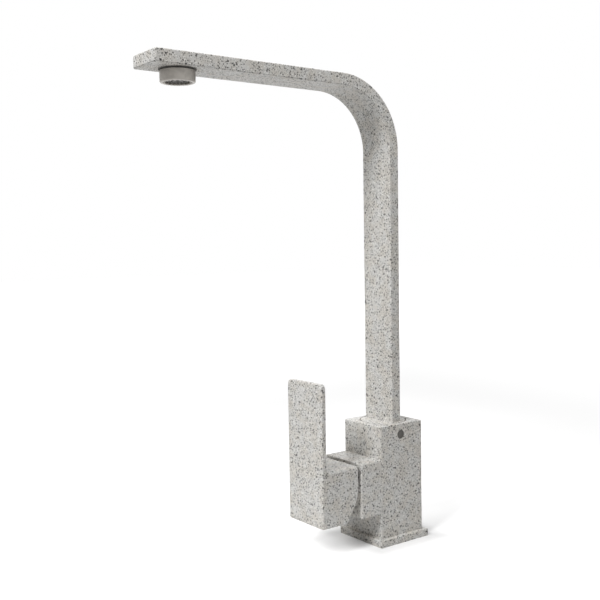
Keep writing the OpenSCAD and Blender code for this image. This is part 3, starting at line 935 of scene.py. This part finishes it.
@dataclass
class BasePlate(Assembly):
    """Square plate on the worktop, with the seal in its underside."""

    half: float = 26.0 * MM
    thickness: float = 5.8 * MM
    edge: float = 0.8 * MM
    bore: float = 17.1 * MM
    seal_radii: Pair = (20.0 * MM, 23.0 * MM)
    seal_depth: float = 2.0 * MM
    seal_edge: float = 0.4 * MM

    def build(self) -> None:
        """Makes the plate and the seal."""
        plate = block((-self.half, -self.half, 0), (self.half, self.half, self.thickness))
        soften(plate, self.edge, lambda edge: is_above(edge, self.thickness / 2))
        inner, outer = self.seal_radii
        groove = stepped(-MM, (outer, self.seal_depth), bore=inner)
        drill = rod(self.bore, -MM, self.thickness + MM)
        cut = merged(plate, [drill, lathe(groove)])
        self.bench.finish(cut, "plate", Body.MIXER, Slot.GRANITE, "base_plate")
        corners = [
            (inner, 0, self.seal_edge),
            (outer, 0, self.seal_edge),
            (outer, self.seal_depth, 0),
            (inner, self.seal_depth, 0),
        ]
        seal = lathe(eased_outline(corners, 4))
        self.bench.finish(seal, "plate_seal", Body.MIXER, Slot.RUBBER, "base_seal")


@dataclass
class Casting(Assembly):
    """Square column with the boss in front, cast in one, and its openings."""

    half: float = 22.5 * MM
    foot: float = BasePlate.thickness
    top: float = 97.0 * MM
    boss_front: float = -43.1 * MM
    boss_low: float = 26.1 * MM
    boss_high: float = 70.3 * MM
    boss_lap: float = 4.8 * MM
    edge: float = 0.8 * MM
    boss_corner: float = 1.2 * MM
    shank: float = 17.0 * MM
    cartridge_z: float = 48.2 * MM
    nut_bore: float = 19.5 * MM
    nut_seat: float = -34.9 * MM
    cavity: float = 17.65 * MM
    cavity_floor: float = -12.1 * MM
    recess: float = 19.1 * MM
    recess_floor: float = 94.0 * MM
    lip: float = 0.12 * MM
    swivel: float = 12.0 * MM
    swivel_floor: float = 71.0 * MM
    screw_z: float = 88.3 * MM
    screw_y: float = -0.9 * MM
    screw_bore: float = 3.05 * MM
    screw_mouth: float = 3.7 * MM
    mouth_floor: float = 19.0 * MM
    plug_slip: float = 0.05 * MM
    plug_recess: float = 0.1 * MM
    plug_length: float = 2.0 * MM
    plug_edges: Pair = (0.2 * MM, 0.15 * MM)
    plug_dish: Pair = (0.15 * MM, 0.195 * MM)
    plug_flat: float = 0.45
    inlet: Pair = (8.2 * MM, -7.0 * MM)
    inlet_bore: float = 4.5 * MM
    inlet_depth: float = 14.0 * MM
    stud_y: float = 9.0 * MM
    stud_bore: float = 3.4 * MM
    stud_depth: float = 16.0 * MM

    def build(self) -> None:
        """Makes the casting, its threads and the plug in its side."""
        column = block((-self.half, -self.half, self.foot), (self.half, self.half, self.top))
        soften(column, self.edge, lambda edge: is_above(edge, self.foot + MM))
        boss = block(
            (-self.half, self.boss_front, self.boss_low),
            (self.half, self.boss_lap - self.half, self.boss_high),
        )
        soften(boss, self.boss_corner, runs_back, 5)
        soften(boss, self.edge, is_fold)
        shank = rod(self.shank, 0, self.foot + MM)
        blank = merged(column, [boss, shank], "UNION")
        cut = merged(blank, self.openings())
        self.bench.finish(cut, "casting", Body.MIXER, Slot.GRANITE, "mixer_body")
        self.build_threads()
        self.build_plug()

    def threaded(self) -> list[tuple[float, float, float, float]]:
        """The stud hole and the two hose inlets.

        Returns:
            Place in x and y, radius and depth of each.
        """
        x, y = self.inlet
        inlets = [(place, y, self.inlet_bore, self.inlet_depth) for place in (-x, x)]
        return [(0, self.stud_y, self.stud_bore, self.stud_depth), *inlets]

    def openings(self) -> list[BMesh]:
        """Cutters for the recess, bores and threads.

        Returns:
            One closed shell for each opening.
        """
        ahead = self.boss_front - MM
        cartridge = stepped(self.cavity_floor, (self.cavity, self.nut_seat), (self.nut_bore, ahead))
        outside = self.half + MM
        screw = stepped(0, (self.screw_bore, self.mouth_floor), (self.screw_mouth, outside))
        return [
            rod(self.recess, self.recess_floor, self.top + MM),
            rod(self.recess + self.lip, self.top - self.lip, self.top + MM),
            rod(self.swivel, self.swivel_floor, self.top),
            lathe(cartridge, (0, 0, self.cartridge_z), Axis.Y),
            lathe(screw, (0, self.screw_y, self.screw_z), Axis.X, 48),
            *(rod(bore, -MM, depth, (x, y, 0), steps=48) for x, y, bore, depth in self.threaded()),
        ]

    def build_threads(self) -> None:
        """Makes the thread ridges in the two hose inlets and the stud hole."""
        ridges = []
        for x, y, bore, depth in self.threaded():
            ridge = ThreadRidge(self.bench, bore, depth).build()
            ridge.transform(Matrix.Translation((x, y, 0)))
            ridges.append(ridge)
        self.bench.finish(joined(*ridges), "inlet_threads", Body.MIXER, Slot.BRASS)

    def build_plug(self) -> None:
        """Makes the dark plug that closes the lock screw's hole."""
        radius = self.screw_mouth - self.plug_slip
        face = self.half - self.plug_recess
        back = face - self.plug_length
        corners = [
            (0, back, 0),
            (radius, back, self.plug_edges[0]),
            (radius, face, self.plug_edges[1]),
            (self.plug_flat * radius, face - self.plug_dish[0], 0),
            (0, face - self.plug_dish[1], 0),
        ]
        centre = (0, self.screw_y, self.screw_z)
        plug = lathe(eased_outline(corners), centre, Axis.X, 64)
        self.bench.finish(plug, "side_plug", Body.MIXER, Slot.DARK, "screw_hole_plug")


@dataclass
class ThreadRidge(Assembly):
    """Ridge of an internal thread, drawn as a spiral on the bore's wall."""

    radius: float
    depth: float
    pitch: float = 1.25 * MM
    ridge: float = 0.55 * MM
    inset: float = 1.0 * MM
    run_out: float = 1.5 * MM
    turn_steps: int = 28
    sides: int = 4

    def build(self) -> Mesh:
        """Makes the ridge round the Z axis, from just inside the mouth.

        Returns:
            The ridge as a plain mesh.
        """
        run = self.depth - self.inset - self.run_out
        board = ShapeBoard(self, Slot.BRASS, run=run, turns=run / self.pitch)
        inputs = {
            "Resolution": board["turn_steps"],
            "Rotations": board["turns"],
            "Start Radius": board["radius"],
            "End Radius": board["radius"],
            "Height": board["run"],
        }
        spiral = board.out("GeometryNodeCurveSpiral", inputs)
        inputs = {"Resolution": board["sides"], "Radius": board["ridge"]}
        section = board.out("GeometryNodeCurvePrimitiveCircle", inputs)
        ridge = board.lifted(board.swept(spiral, section), board["inset"])
        return board.close(ridge, placed(bmesh.new(), "thread"))


@dataclass
class Collar(Assembly):
    """Round collar between the boss and the handle, with a domed front."""

    radius: float = 20.05 * MM
    hub: float = 11.6 * MM
    grip: float = 16.5 * MM
    floor: float = 1.1 * MM
    rim: float = 0.6 * MM
    rim_edges: Pair = (0.15 * MM, 0.35 * MM)
    rim_step: Pair = (0.5 * MM, 0.4 * MM)
    shoulder: float = 2.3 * MM
    crown: Pair = (14.0 * MM, 3.2 * MM)
    crown_ease: float = 2.0 * MM
    dome: float = 3.7 * MM
    hub_land: float = 0.6 * MM
    hub_edges: Pair = (0.4 * MM, 0.2 * MM)
    hub_back: float = 2.4 * MM
    hub_slope: float = 1.9 * MM

    def build(self) -> None:
        """Turns the collar about the cartridge's axis."""
        step_in, step_up = self.rim_step
        corners = [
            (self.grip, 0, 0),
            (self.radius, 0, self.rim_edges[0]),
            (self.radius, self.rim, self.rim_edges[1]),
            (self.radius - step_in, self.rim + step_up, step_in),
            (self.grip, self.shoulder, self.crown_ease),
            (*self.crown, self.crown_ease),
            (self.hub + self.hub_land, self.dome, self.hub_edges[0]),
            (self.hub, self.dome, self.hub_edges[1]),
            (self.hub, self.hub_back, 0),
            (self.hub + self.hub_slope, self.floor, 0),
            (self.grip, self.floor, 0),
        ]
        front = -Casting.boss_front
        profile = [(radius, -(front + height)) for radius, height in eased_outline(corners, 6)]
        ring = lathe(profile, (0, 0, Casting.cartridge_z), Axis.Y, 128)
        self.bench.finish(ring, "collar", Body.MIXER, Slot.GRANITE, "collar_ring")


@dataclass
class Lever(Assembly):
    """Hollow handle block with the flat lever plate on its front."""

    half: float = 21.75 * MM
    front: float = -81.4 * MM
    plate_back: float = -77.4 * MM
    back: float = -45.9 * MM
    low: float = 25.2 * MM
    high: float = 69.0 * MM
    tip: float = 137.1 * MM
    cut_z: float = 44.5 * MM
    cut_slope: float = 31.0
    cut_curve: float = 25.0 * MM
    edge: float = 0.8 * MM
    tip_corner: float = 3.8 * MM
    top_corner: float = 2.0 * MM
    foot_corner: float = 1.4 * MM
    lap: float = 6.0 * MM
    wall: float = 3.0 * MM
    axis_z: float = Casting.cartridge_z
    stem: float = 8.0 * MM
    slip: float = 0.1 * MM
    hub_end: float = -56.5 * MM
    socket_end: float = -72.4 * MM
    screw_y: float = -64.45 * MM
    screw: float = 2.5 * MM
    cap: float = 3.6 * MM
    cap_depth: float = 2.2 * MM
    cap_play: float = 0.4 * MM
    cap_inset: float = 0.2 * MM
    cap_dish: Pair = (0.1 * MM, 0.06 * MM)
    cap_flat: float = 0.5
    cap_edges: Pair = (0.35 * MM, 0.2 * MM)

    def build(self) -> None:
        """Makes the handle and the cap over its screw."""
        blank = merged(self.plate(), [self.rear_block()], "UNION")
        hollow = joined(merged(self.hollow(), self.hubs()))
        cut = merged(blank, [hollow, *self.sockets()])
        self.bench.finish(cut, "lever", Body.LEVER, Slot.GRANITE, "handle")
        self.build_cap()

    def plate(self) -> BMesh:
        """The flat lever, down to a short lap inside the block.

        Returns:
            The closed shell.
        """
        start = self.high - self.lap
        slab = block((-self.half, self.front, start), (self.half, self.plate_back, self.tip))
        self.round_top(slab, self.tip_corner)
        soften(slab, self.edge, lambda edge: is_fold(edge) and is_above(edge, start))
        return slab

    def rear_block(self) -> BMesh:
        """The block under the lever, with the curved cut on its lower back.

        Returns:
            The closed shell.
        """
        drop = self.cut_z - self.low
        corners = [
            (self.front, self.low, 0),
            (self.back - drop * math.tan(math.radians(self.cut_slope)), self.low, 0),
            (self.back, self.cut_z, self.cut_curve),
            (self.back, self.high, 0),
            (self.front, self.high, 0),
        ]
        shell = side_prism(eased_outline(corners, 24), self.half)
        self.round_top(shell, self.top_corner)
        soften(
            shell,
            self.foot_corner,
            lambda edge: runs_back(edge) and is_fold(edge) and not is_above(edge, self.low),
            5,
        )
        soften(shell, self.edge, is_fold)
        return shell

    def round_top(self, shell: BMesh, radius: float) -> None:
        """Rounds the two corners at the top, as they show from the front.

        Args:
            shell: The shell to change.
            radius: Radius of the corners.
        """
        middle = (self.low + self.high) / 2
        soften(
            shell,
            radius,
            lambda edge: runs_back(edge) and is_fold(edge) and is_above(edge, middle),
            7,
        )

    def hollow(self) -> BMesh:
        """The space inside the block, open to the back.

        Returns:
            The space as a closed shell with rounded corners.
        """
        inside = self.half - self.wall
        space = block(
            (-inside, self.plate_back + self.wall, self.low + self.wall),
            (inside, self.back + self.wall + MM, self.high - self.wall),
        )
        soften(space, self.edge, is_fold, 3)
        return space

    def hubs(self) -> list[BMesh]:
        """The stem's hub and the screw's boss, which stay in the hollow.

        Returns:
            One closed shell for each.
        """
        hub = self.wall + self.stem / math.sqrt(2)
        return [
            rod(hub, self.plate_back, self.hub_end, (0, 0, self.axis_z), Axis.Y),
            rod(self.wall + self.screw, 0, self.axis_z, (0, self.screw_y, 0)),
        ]

    def sockets(self) -> list[BMesh]:
        """Cutters for the stem's square socket and for the screw and its cap.

        Returns:
            One closed shell for each.
        """
        half = self.stem / 2 + self.slip
        low, high = self.axis_z - half, self.axis_z + half
        under = self.low - MM
        seat = self.low + self.cap_depth + self.cap_play
        at_screw = (0, self.screw_y, 0)
        return [
            block((-half, self.socket_end, low), (half, self.back, high)),
            rod(self.screw + self.slip, under, self.axis_z, at_screw, steps=48),
            rod(self.cap + self.slip, under, seat, at_screw, steps=64),
        ]

    def build_cap(self) -> None:
        """Makes the cap over the grub screw."""
        low = self.low + self.cap_inset
        high = self.low + self.cap_depth
        corners = [
            (0, low + self.cap_dish[0], 0),
            (self.cap_flat * self.cap, low + self.cap_dish[1], 0),
            (self.cap, low, self.cap_edges[0]),
            (self.cap, high, self.cap_edges[1]),
            (0, high, 0),
        ]
        cap = lathe(eased_outline(corners), (0, self.screw_y, 0), steps=64)
        self.bench.finish(cap, "lever_cap", Body.LEVER, Slot.DARK, "handle_screw_cap")


@dataclass
class SpoutSkin(Assembly):
    """One skin of the flat spout, swept along its path by Geometry Nodes."""

    width: float
    thickness: float
    corner: float
    tip_sides: float
    tip_faces: float
    corner_steps: int = 5

    def build(self, path: Sequence[Vector]) -> BMesh:
        """Sweeps the flat section along a path and rounds its last stretch.

        Args:
            path: Points from the foot to the tip, which lies along -Y.

        Returns:
            The skin, open at its foot, with its faces outwards.
        """
        board = ShapeBoard(self, Slot.GRANITE, tip_reach=-path[-1].y, arm_height=path[-1].z)
        inputs = {"Width": board["width"], "Height": board["thickness"]}
        flat = board.out("GeometryNodeCurvePrimitiveQuadrilateral", inputs)
        inputs = {"Curve": flat, "Radius": board["corner"], "Count": board["corner_steps"]}
        section = board.out("GeometryNodeFilletCurve", inputs, mode="POLY")
        skin = self.rounded_tip(board, board.swept(board.given[0], section))
        line = bpy.data.curves.new("spout_path", "CURVE")
        line.dimensions = "3D"
        spline = line.splines.new("POLY")
        spline.points.add(len(path) - 1)
        for point, place in zip(spline.points, path, strict=True):
            point.co = (*place, 1)
        shell = joined(board.close(skin, placed(line, "spout_path")))
        bmesh.ops.remove_doubles(shell, verts=shell.verts, dist=HAIR)
        bmesh.ops.recalc_face_normals(shell, faces=shell.faces)
        # The cap at the foot goes, so that the two skins can be bridged there.
        foot = path[0].z
        caps = [face for face in shell.faces if not any(is_above(e, foot) for e in face.edges)]
        bmesh.ops.delete(shell, geom=caps, context="FACES_ONLY")
        return shell

    def rounded_tip(self, board: ShapeBoard, shape: Socket) -> Socket:
        """Draws the rings in the last stretch together along a quarter circle.

        Args:
            board: The tree to draw in.
            shape: The swept skin.

        Returns:
            The skin with its rounded tip.
        """
        side = board["tip_sides"]
        spot = board.out("GeometryNodeInputPosition")
        parts = board.add("ShaderNodeSeparateXYZ", {0: spot}).outputs
        begins = board.sums("SUBTRACT", side, board["tip_reach"])
        past = board.sums("SUBTRACT", begins, parts[1])
        share = board.sums("DIVIDE", past, side)
        share = board.sums("MINIMUM", board.sums("MAXIMUM", share, 0.0), 1.0)
        root = board.sums("SUBTRACT", 1.0, board.sums("MULTIPLY", share, share))
        drawn = board.sums("SUBTRACT", 1.0, board.sums("SQRT", root))
        rules = (
            (parts[0], 0.0, side, board["width"]),
            (parts[2], board["arm_height"], board["tip_faces"], board["thickness"]),
        )
        moves = []
        for part, centre, pull, full in rules:
            inset = board.sums("MULTIPLY", drawn, pull)
            away = board.sums("SUBTRACT", part, centre)
            factor = board.sums("DIVIDE", inset, board.sums("MULTIPLY", full, -0.5))
            moves.append(board.sums("MULTIPLY", away, factor))
        inputs = {
            "Geometry": shape,
            "Selection": board.sums("GREATER_THAN", share, 0.0),
            "Offset": board.vector(x=moves[0], z=moves[1]),
        }
        return board.out("GeometryNodeSetPosition", inputs)


@dataclass
class Spout(Assembly):
    """Flat L-shaped spout on its round disc."""

    width: float = 32.8 * MM
    thickness: float = 9.2 * MM
    wall: float = 1.2 * MM
    edge: float = 0.8 * MM
    tip_corner: float = 1.6 * MM
    tip_edge: float = 1.2 * MM
    bore_edge: float = 0.6 * MM
    bore_tip: float = 1.4 * MM
    tip_wall: float = 1.6 * MM
    foot: float = 97.1 * MM
    top: float = 373.5 * MM
    reach: float = 211.4 * MM
    bend: float = 55.8 * MM
    disc_radius: float = 18.40 * MM
    disc_thickness: float = 3.0 * MM
    disc_edge: float = 0.15 * MM
    slot_width: float = 15.0 * MM
    slot_round: float = 0.95
    outlet_inset: float = 25.6 * MM
    outlet_bore: float = 8.75 * MM
    bend_steps: int = 40
    tip_steps: int = 6

    def path(self, reach: float, tip: float) -> list[Vector]:
        """Middle line of the spout.

        Args:
            reach: Distance of its end in front of the column's middle.
            tip: Length of the rounded last stretch.

        Returns:
            Its points from foot to tip.
        """
        radius = self.bend - self.thickness / 2
        knee = self.top - self.bend
        points = [Vector((0, 0, self.foot))]
        for step in range(self.bend_steps + 1):
            turn = math.pi / 2 * step / self.bend_steps
            along, up = 1 - math.cos(turn), math.sin(turn)
            points.append(Vector((0, -radius * along, knee + radius * up)))
        for step in range(self.tip_steps + 1):
            turn = math.pi / 2 * step / self.tip_steps
            points.append(Vector((0, -(reach - tip + tip * math.sin(turn)), points[-1].z)))
        return points

    def build(self) -> None:
        """Makes the tube, from an outer skin and its bore, and the disc under it."""
        skin = (self.width, self.thickness, self.edge, self.tip_corner, self.tip_edge)
        outer = SpoutSkin(self.bench, *skin).build(self.path(self.reach, self.tip_corner))
        width, thickness = self.width - 2 * self.wall, self.thickness - 2 * self.wall
        skin = (width, thickness, self.bore_edge, self.bore_tip, self.bore_edge)
        end = self.reach - self.tip_wall
        inner = SpoutSkin(self.bench, *skin).build(self.path(end, self.bore_tip))
        # The faces of the bore look into it.
        bmesh.ops.reverse_faces(inner, faces=inner.faces)
        tube = joined(outer, inner)
        bmesh.ops.bridge_loops(tube, edges=[edge for edge in tube.edges if edge.is_boundary])
        under = self.top - self.thickness
        outlet = (0, self.outlet_inset - self.reach, 0)
        drill = rod(self.outlet_bore, under - MM, under + self.thickness / 2, outlet)
        cut = merged(tube, [drill])
        self.bench.finish(cut, "spout", Body.SPOUT, Slot.GRANITE, "spout_tube")
        self.build_disc()

    def build_disc(self) -> None:
        """Makes the round disc in the column's top, with the waterway through it."""
        low = self.foot - self.disc_thickness
        corners = [
            (0, low, 0),
            (self.disc_radius, low, 0),
            (self.disc_radius, self.foot, self.disc_edge),
            (0, self.foot, 0),
        ]
        half = self.slot_width / 2
        deep = self.thickness / 2 - self.wall
        slot = block((-half, -deep, low - MM), (half, deep, self.foot + MM))
        soften(slot, deep * self.slot_round, is_upright, 6)
        disc = merged(lathe(eased_outline(corners, 3), steps=128), [slot])
        self.bench.finish(disc, "swivel_plate", Body.SPOUT, Slot.GRANITE, "spout_disc")


@dataclass
class Aerator(Assembly):
    """Round metal ring under the spout's tip, with the jet insert in its mouth."""

    place: Triple = (0, -185.8 * MM, 364.3 * MM)
    radius: float = 12.4 * MM
    height: float = 9.2 * MM
    mouth: float = 10.0 * MM
    mouth_top: float = 6.4 * MM
    thread: float = 10.5 * MM
    neck: float = 0.5 * MM
    lip: float = 0.8 * MM
    inner_lip: float = 0.35 * MM
    upper_edge: float = 0.25 * MM
    gasket: float = 13.2 * MM
    gasket_bore: float = 10.85 * MM
    gasket_depth: float = 1.1 * MM
    gasket_step: float = 0.5 * MM
    gasket_edges: Pair = (0.2 * MM, 0.15 * MM)
    core_radius: float = 9.9 * MM
    core_low: float = 8.0 * MM
    core_shoulder: float = 6.15 * MM
    flange: float = 10.4 * MM
    flange_high: float = 5.5 * MM
    hub_hole: float = 1.6 * MM

    def build(self) -> None:
        """Makes the gasket, the ring with its teeth, and the insert."""
        low = -self.gasket_depth
        step = low + self.gasket_step
        neck = self.radius - self.neck
        corners = [
            (self.gasket_bore, low, 0),
            (neck, low, 0),
            (neck, step, 0),
            (self.gasket, step, self.gasket_edges[0]),
            (self.gasket, 0, self.gasket_edges[1]),
            (self.gasket_bore, 0, 0),
        ]
        gasket = lathe(eased_outline(corners), self.place, steps=128)
        self.bench.finish(gasket, "outlet_seal", Body.SPOUT, Slot.RUBBER, "outlet_gasket")
        corners = [
            (self.thread, low, 0),
            (self.radius, low, self.upper_edge),
            (self.radius, -self.height, self.lip),
            (self.mouth, -self.height, self.inner_lip),
            (self.mouth, -self.mouth_top, 0),
            (self.thread, -self.mouth_top, 0),
        ]
        ring = lathe(eased_outline(corners, 6), self.place, steps=160)
        teeth = RimTeeth(self.bench).build()
        teeth.transform(Matrix.Translation(self.place))
        whole = joined(ring, teeth)
        self.bench.finish(
            whole, "outlet_ring", Body.SPOUT, Slot.RING, "aerator_ring", crease=50
        )
        core = (self.core_radius, -self.core_shoulder)
        flange = (self.flange, -self.flange_high)
        blank = lathe(stepped(-self.core_low, core, flange, bore=self.hub_hole), steps=144)
        insert = JetInsert(self.bench).build(blank)
        insert.transform(Matrix.Translation(self.place))
        self.bench.finish(insert, "outlet_insert", Body.SPOUT, Slot.DARK, "aerator_core")


@dataclass
class RimTeeth(Assembly):
    """Short teeth inside the ring's mouth, for the key that turns it."""

    count: int = 18
    middle: float = 9.35 * MM
    inward: float = 1.7 * MM
    width: float = 1.3 * MM
    height: float = 1.05 * MM
    drop: float = -8.58 * MM

    def build(self) -> Mesh:
        """Makes the teeth round the Z axis.

        Returns:
            The teeth as a plain mesh.
        """
        board = ShapeBoard(self, Slot.RING)
        tooth = board.bar(board["inward"], board["width"], board["height"])
        teeth = board.spread_round(tooth, board["count"], board["middle"])
        return board.close(board.lifted(teeth, board["drop"]), placed(bmesh.new(), "teeth"))


@dataclass
class JetInsert(Assembly):
    """Plastic insert whose slots, in two rings, break the water into jets."""

    outer_jets: int = 24
    outer_middle: float = 8.0 * MM
    inner_jets: int = 12
    inner_middle: float = 4.9 * MM
    length: float = 2.0 * MM
    rib: float = 0.9 * MM
    depth: float = 20.0 * MM

    def build(self, blank: BMesh) -> Mesh:
        """Cuts the slots from a turned blank by Geometry Nodes.

        Args:
            blank: The insert before its slots, centred on the Z axis.

        Returns:
            The insert as a plain mesh.
        """
        board = ShapeBoard(self, Slot.DARK)
        outer = self.slotted(board, board.given[0], "outer")
        inner = self.slotted(board, outer, "inner")
        return board.close(inner, placed(blank, "insert_blank"))

    @staticmethod
    def slotted(board: ShapeBoard, shape: Socket, key: str) -> Socket:
        """Cuts one ring of slots.

        Args:
            board: The tree to draw in.
            shape: The insert so far.
            key: Which ring, outer or inner, as its sizes are named.

        Returns:
            The insert with that ring cut.
        """
        jets, middle = board[f"{key}_jets"], board[f"{key}_middle"]
        around = board.sums("DIVIDE", board.sums("MULTIPLY", middle, math.tau), jets)
        broad = board.sums("SUBTRACT", around, board["rib"])
        slot = board.bar(board["length"], broad, board["depth"])
        slots = board.spread_round(slot, jets, middle)
        solid = board.out("GeometryNodeRealizeInstances", {"Geometry": slots})
        inputs = {"Mesh 1": shape, "Mesh 2": solid}
        settings = {"operation": "DIFFERENCE", "solver": "EXACT"}
        return board.out("GeometryNodeMeshBoolean", inputs, **settings)


def heading(azimuth: float, height: float) -> Vector:
    """Direction that a level angle and an upward angle give.

    Args:
        azimuth: Degrees from the tap's front towards its right.
        height: Degrees above the level.

    Returns:
        A vector of length 1.
    """
    around, up = math.radians(azimuth), math.radians(height)
    level = math.cos(up)
    return Vector((math.sin(around) * level, -math.cos(around) * level, math.sin(up)))


@dataclass(frozen=True)
class Softbox:
    """A square studio lamp that faces the tap."""

    name: str
    azimuth: float
    height: float
    power: float
    size: float = 1.6
    distance: float = 2.6
    aim: Triple = (0, 0, 0.2)

    def build(self) -> None:
        """Hangs the lamp and turns it to its aim."""
        light = bpy.data.lights.new(self.name, "AREA")
        light.shape = "SQUARE"
        light.size = self.size
        light.energy = self.power
        away = heading(self.azimuth, self.height)
        turn = (-away).to_track_quat("-Z", "Y").to_matrix().to_4x4()
        place = Vector(self.aim) + self.distance * away
        placed(light, self.name).matrix_world = Matrix.Translation(place) @ turn


@dataclass(frozen=True)
class Viewpoint:
    """The camera, as solved from the edges of the tap in the photograph."""

    place: Triple = (534.827 * MM, -483.279 * MM, 242.351 * MM)
    yaw: float = 53.257
    pitch: float = -3.574
    roll: float = -0.903
    focal_pixels: float = 871.846
    frame_pixels: float = 600.0
    sensor: float = 36.0
    clip: Pair = (0.01, 50.0)

    def build(self) -> None:
        """Places the camera and makes it the scene's own."""
        ahead = -heading(self.yaw, -self.pitch)
        yaw, roll = math.radians(self.yaw), math.radians(self.roll)
        level = Vector((math.cos(yaw), math.sin(yaw), 0))
        upright = level.cross(ahead)
        right = math.cos(roll) * level + math.sin(roll) * upright
        above = math.cos(roll) * upright - math.sin(roll) * level
        turn = Matrix((right, above, -ahead)).transposed().to_4x4()
        data = bpy.data.cameras.new("camera")
        data.sensor_width = self.sensor
        data.lens = self.focal_pixels / self.frame_pixels * self.sensor
        data.clip_start, data.clip_end = self.clip
        camera = placed(data, "camera")
        camera.matrix_world = Matrix.Translation(self.place) @ turn
        bpy.context.scene.camera = camera


@dataclass
class Studio:
    """Pale floor, white surround and soft lamps."""

    floor_half: float = 6.0
    floor_drop: float = -0.02 * MM
    floor_tone: Pair = (0.8, 0.4)
    table_reach: Pair = (0.15, 0.6)
    # Painted shade round the base: the floor's glow is low at the plate's edge and rises over 24 mm
    # outwards.
    painted_shade_glow: Pair = (0.17, 0.5)
    painted_shade_reach: Pair = (BasePlate.half, BasePlate.half + 24 * MM)
    far_glow: Pair = (0.0, 0.6)
    far_reach: Pair = (0.1, 1.5)
    surround: float = 0.02
    lamps: tuple[Softbox, ...] = (
        Softbox("key_box", azimuth=15, height=40, power=40.0, size=0.6),
        Softbox("left_box", azimuth=-30, height=50, power=26.0),
        Softbox("right_box", azimuth=85, height=62, power=4.3, size=0.5, distance=0.95),
        Softbox("rear_box", azimuth=-115, height=12, power=15.0),
    )

    def build(self) -> None:
        """Sets the whole studio."""
        bpy.context.scene.view_settings.view_transform = "Standard"
        self.build_floor()
        self.build_surround()
        for lamp in self.lamps:
            lamp.build()
        Viewpoint().build()

    @staticmethod
    def seen(board: Board) -> Socket:
        """Tells what the camera sees, also in gloss or glass, from what lights the tap.

        Args:
            board: The tree to draw in.

        Returns:
            A share that is 1 where it is seen.
        """
        path = board.add("ShaderNodeLightPath").outputs
        either = path["Is Camera Ray"]
        for other in ("Is Glossy Ray", "Is Transmission Ray"):
            either = board.sums("MAXIMUM", either, path[other])
        return either

    def build_floor(self) -> None:
        """Lays the floor, which takes the tap's shadow, has a painted shade round the base plate
        and looks white elsewhere.
        """
        half = self.floor_half
        sheet = bmesh.new()
        corners = [(-half, -half, 0), (half, -half, 0), (half, half, 0), (-half, half, 0)]
        sheet.faces.new([sheet.verts.new(corner) for corner in corners])
        floor = placed(sheet, "floor")
        floor.location.z = self.floor_drop
        floor.data.materials.append(self.floor_finish())

    def floor_finish(self) -> Material:
        """Matte pale sheet with a faint glow where the camera sees it; the glow is dimmer right by
        the base plate, which is a painted shade round its foot.

        Returns:
            The floor's material.
        """
        board = ShaderBoard("pale_floor")
        parts = board.add("ShaderNodeSeparateXYZ", {0: board.place}).outputs
        across, along = (board.sums("ABSOLUTE", part) for part in parts[:2])
        away = board.sums("MAXIMUM", across, along)
        level = board.ease(away, self.table_reach, self.floor_tone)
        grey = board.out("ShaderNodeCombineColor", {0: level, 1: level, 2: level})
        matte = board.out("ShaderNodeBsdfDiffuse", {"Color": grey})
        # Painted shade: the camera-only glow is lowest at the base plate's edge, so the floor looks
        # darker round the foot whatever the lamps do.
        painted_shade = board.ease(away, self.painted_shade_reach, self.painted_shade_glow)
        far = board.ease(away, self.far_reach, self.far_glow, smooth=False)
        shown = board.sums("MULTIPLY", self.seen(board), board.sums("ADD", painted_shade, far))
        glow = board.out("ShaderNodeEmission", {"Strength": shown})
        both = board.out("ShaderNodeAddShader", {0: matte, 1: glow})
        board.add("ShaderNodeOutputMaterial", {"Surface": both})
        return board.material

    def build_surround(self) -> None:
        """Fills the world with soft white light and shows it as a white backdrop."""
        world = bpy.data.worlds.new("surround")
        bpy.context.scene.world = world
        world.use_nodes = True
        board = Board(world.node_tree)
        light, white = (
            board.out("ShaderNodeBackground", {"Strength": strength, "Color": (1, 1, 1, 1)})
            for strength in (self.surround, 1.0)
        )
        both = board.out("ShaderNodeMixShader", {0: self.seen(board), 1: light, 2: white})
        board.add("ShaderNodeOutputWorld", {"Surface": both})


def main() -> None:
    """Builds the tap's sub-assemblies in order and sets the studio."""
    logging.basicConfig(level=logging.INFO, format="%(name)s: %(message)s")
    bench = Bench()
    for assembly in (BasePlate, Casting, Collar, Lever, Spout, Aerator):
        LOG.info("building %s", assembly.__name__)
        assembly(bench).build()
    bench.dress_nodes()
    Studio().build()
    LOG.info("%d pieces built", bench.count)


if __name__ == "__main__":
    main()
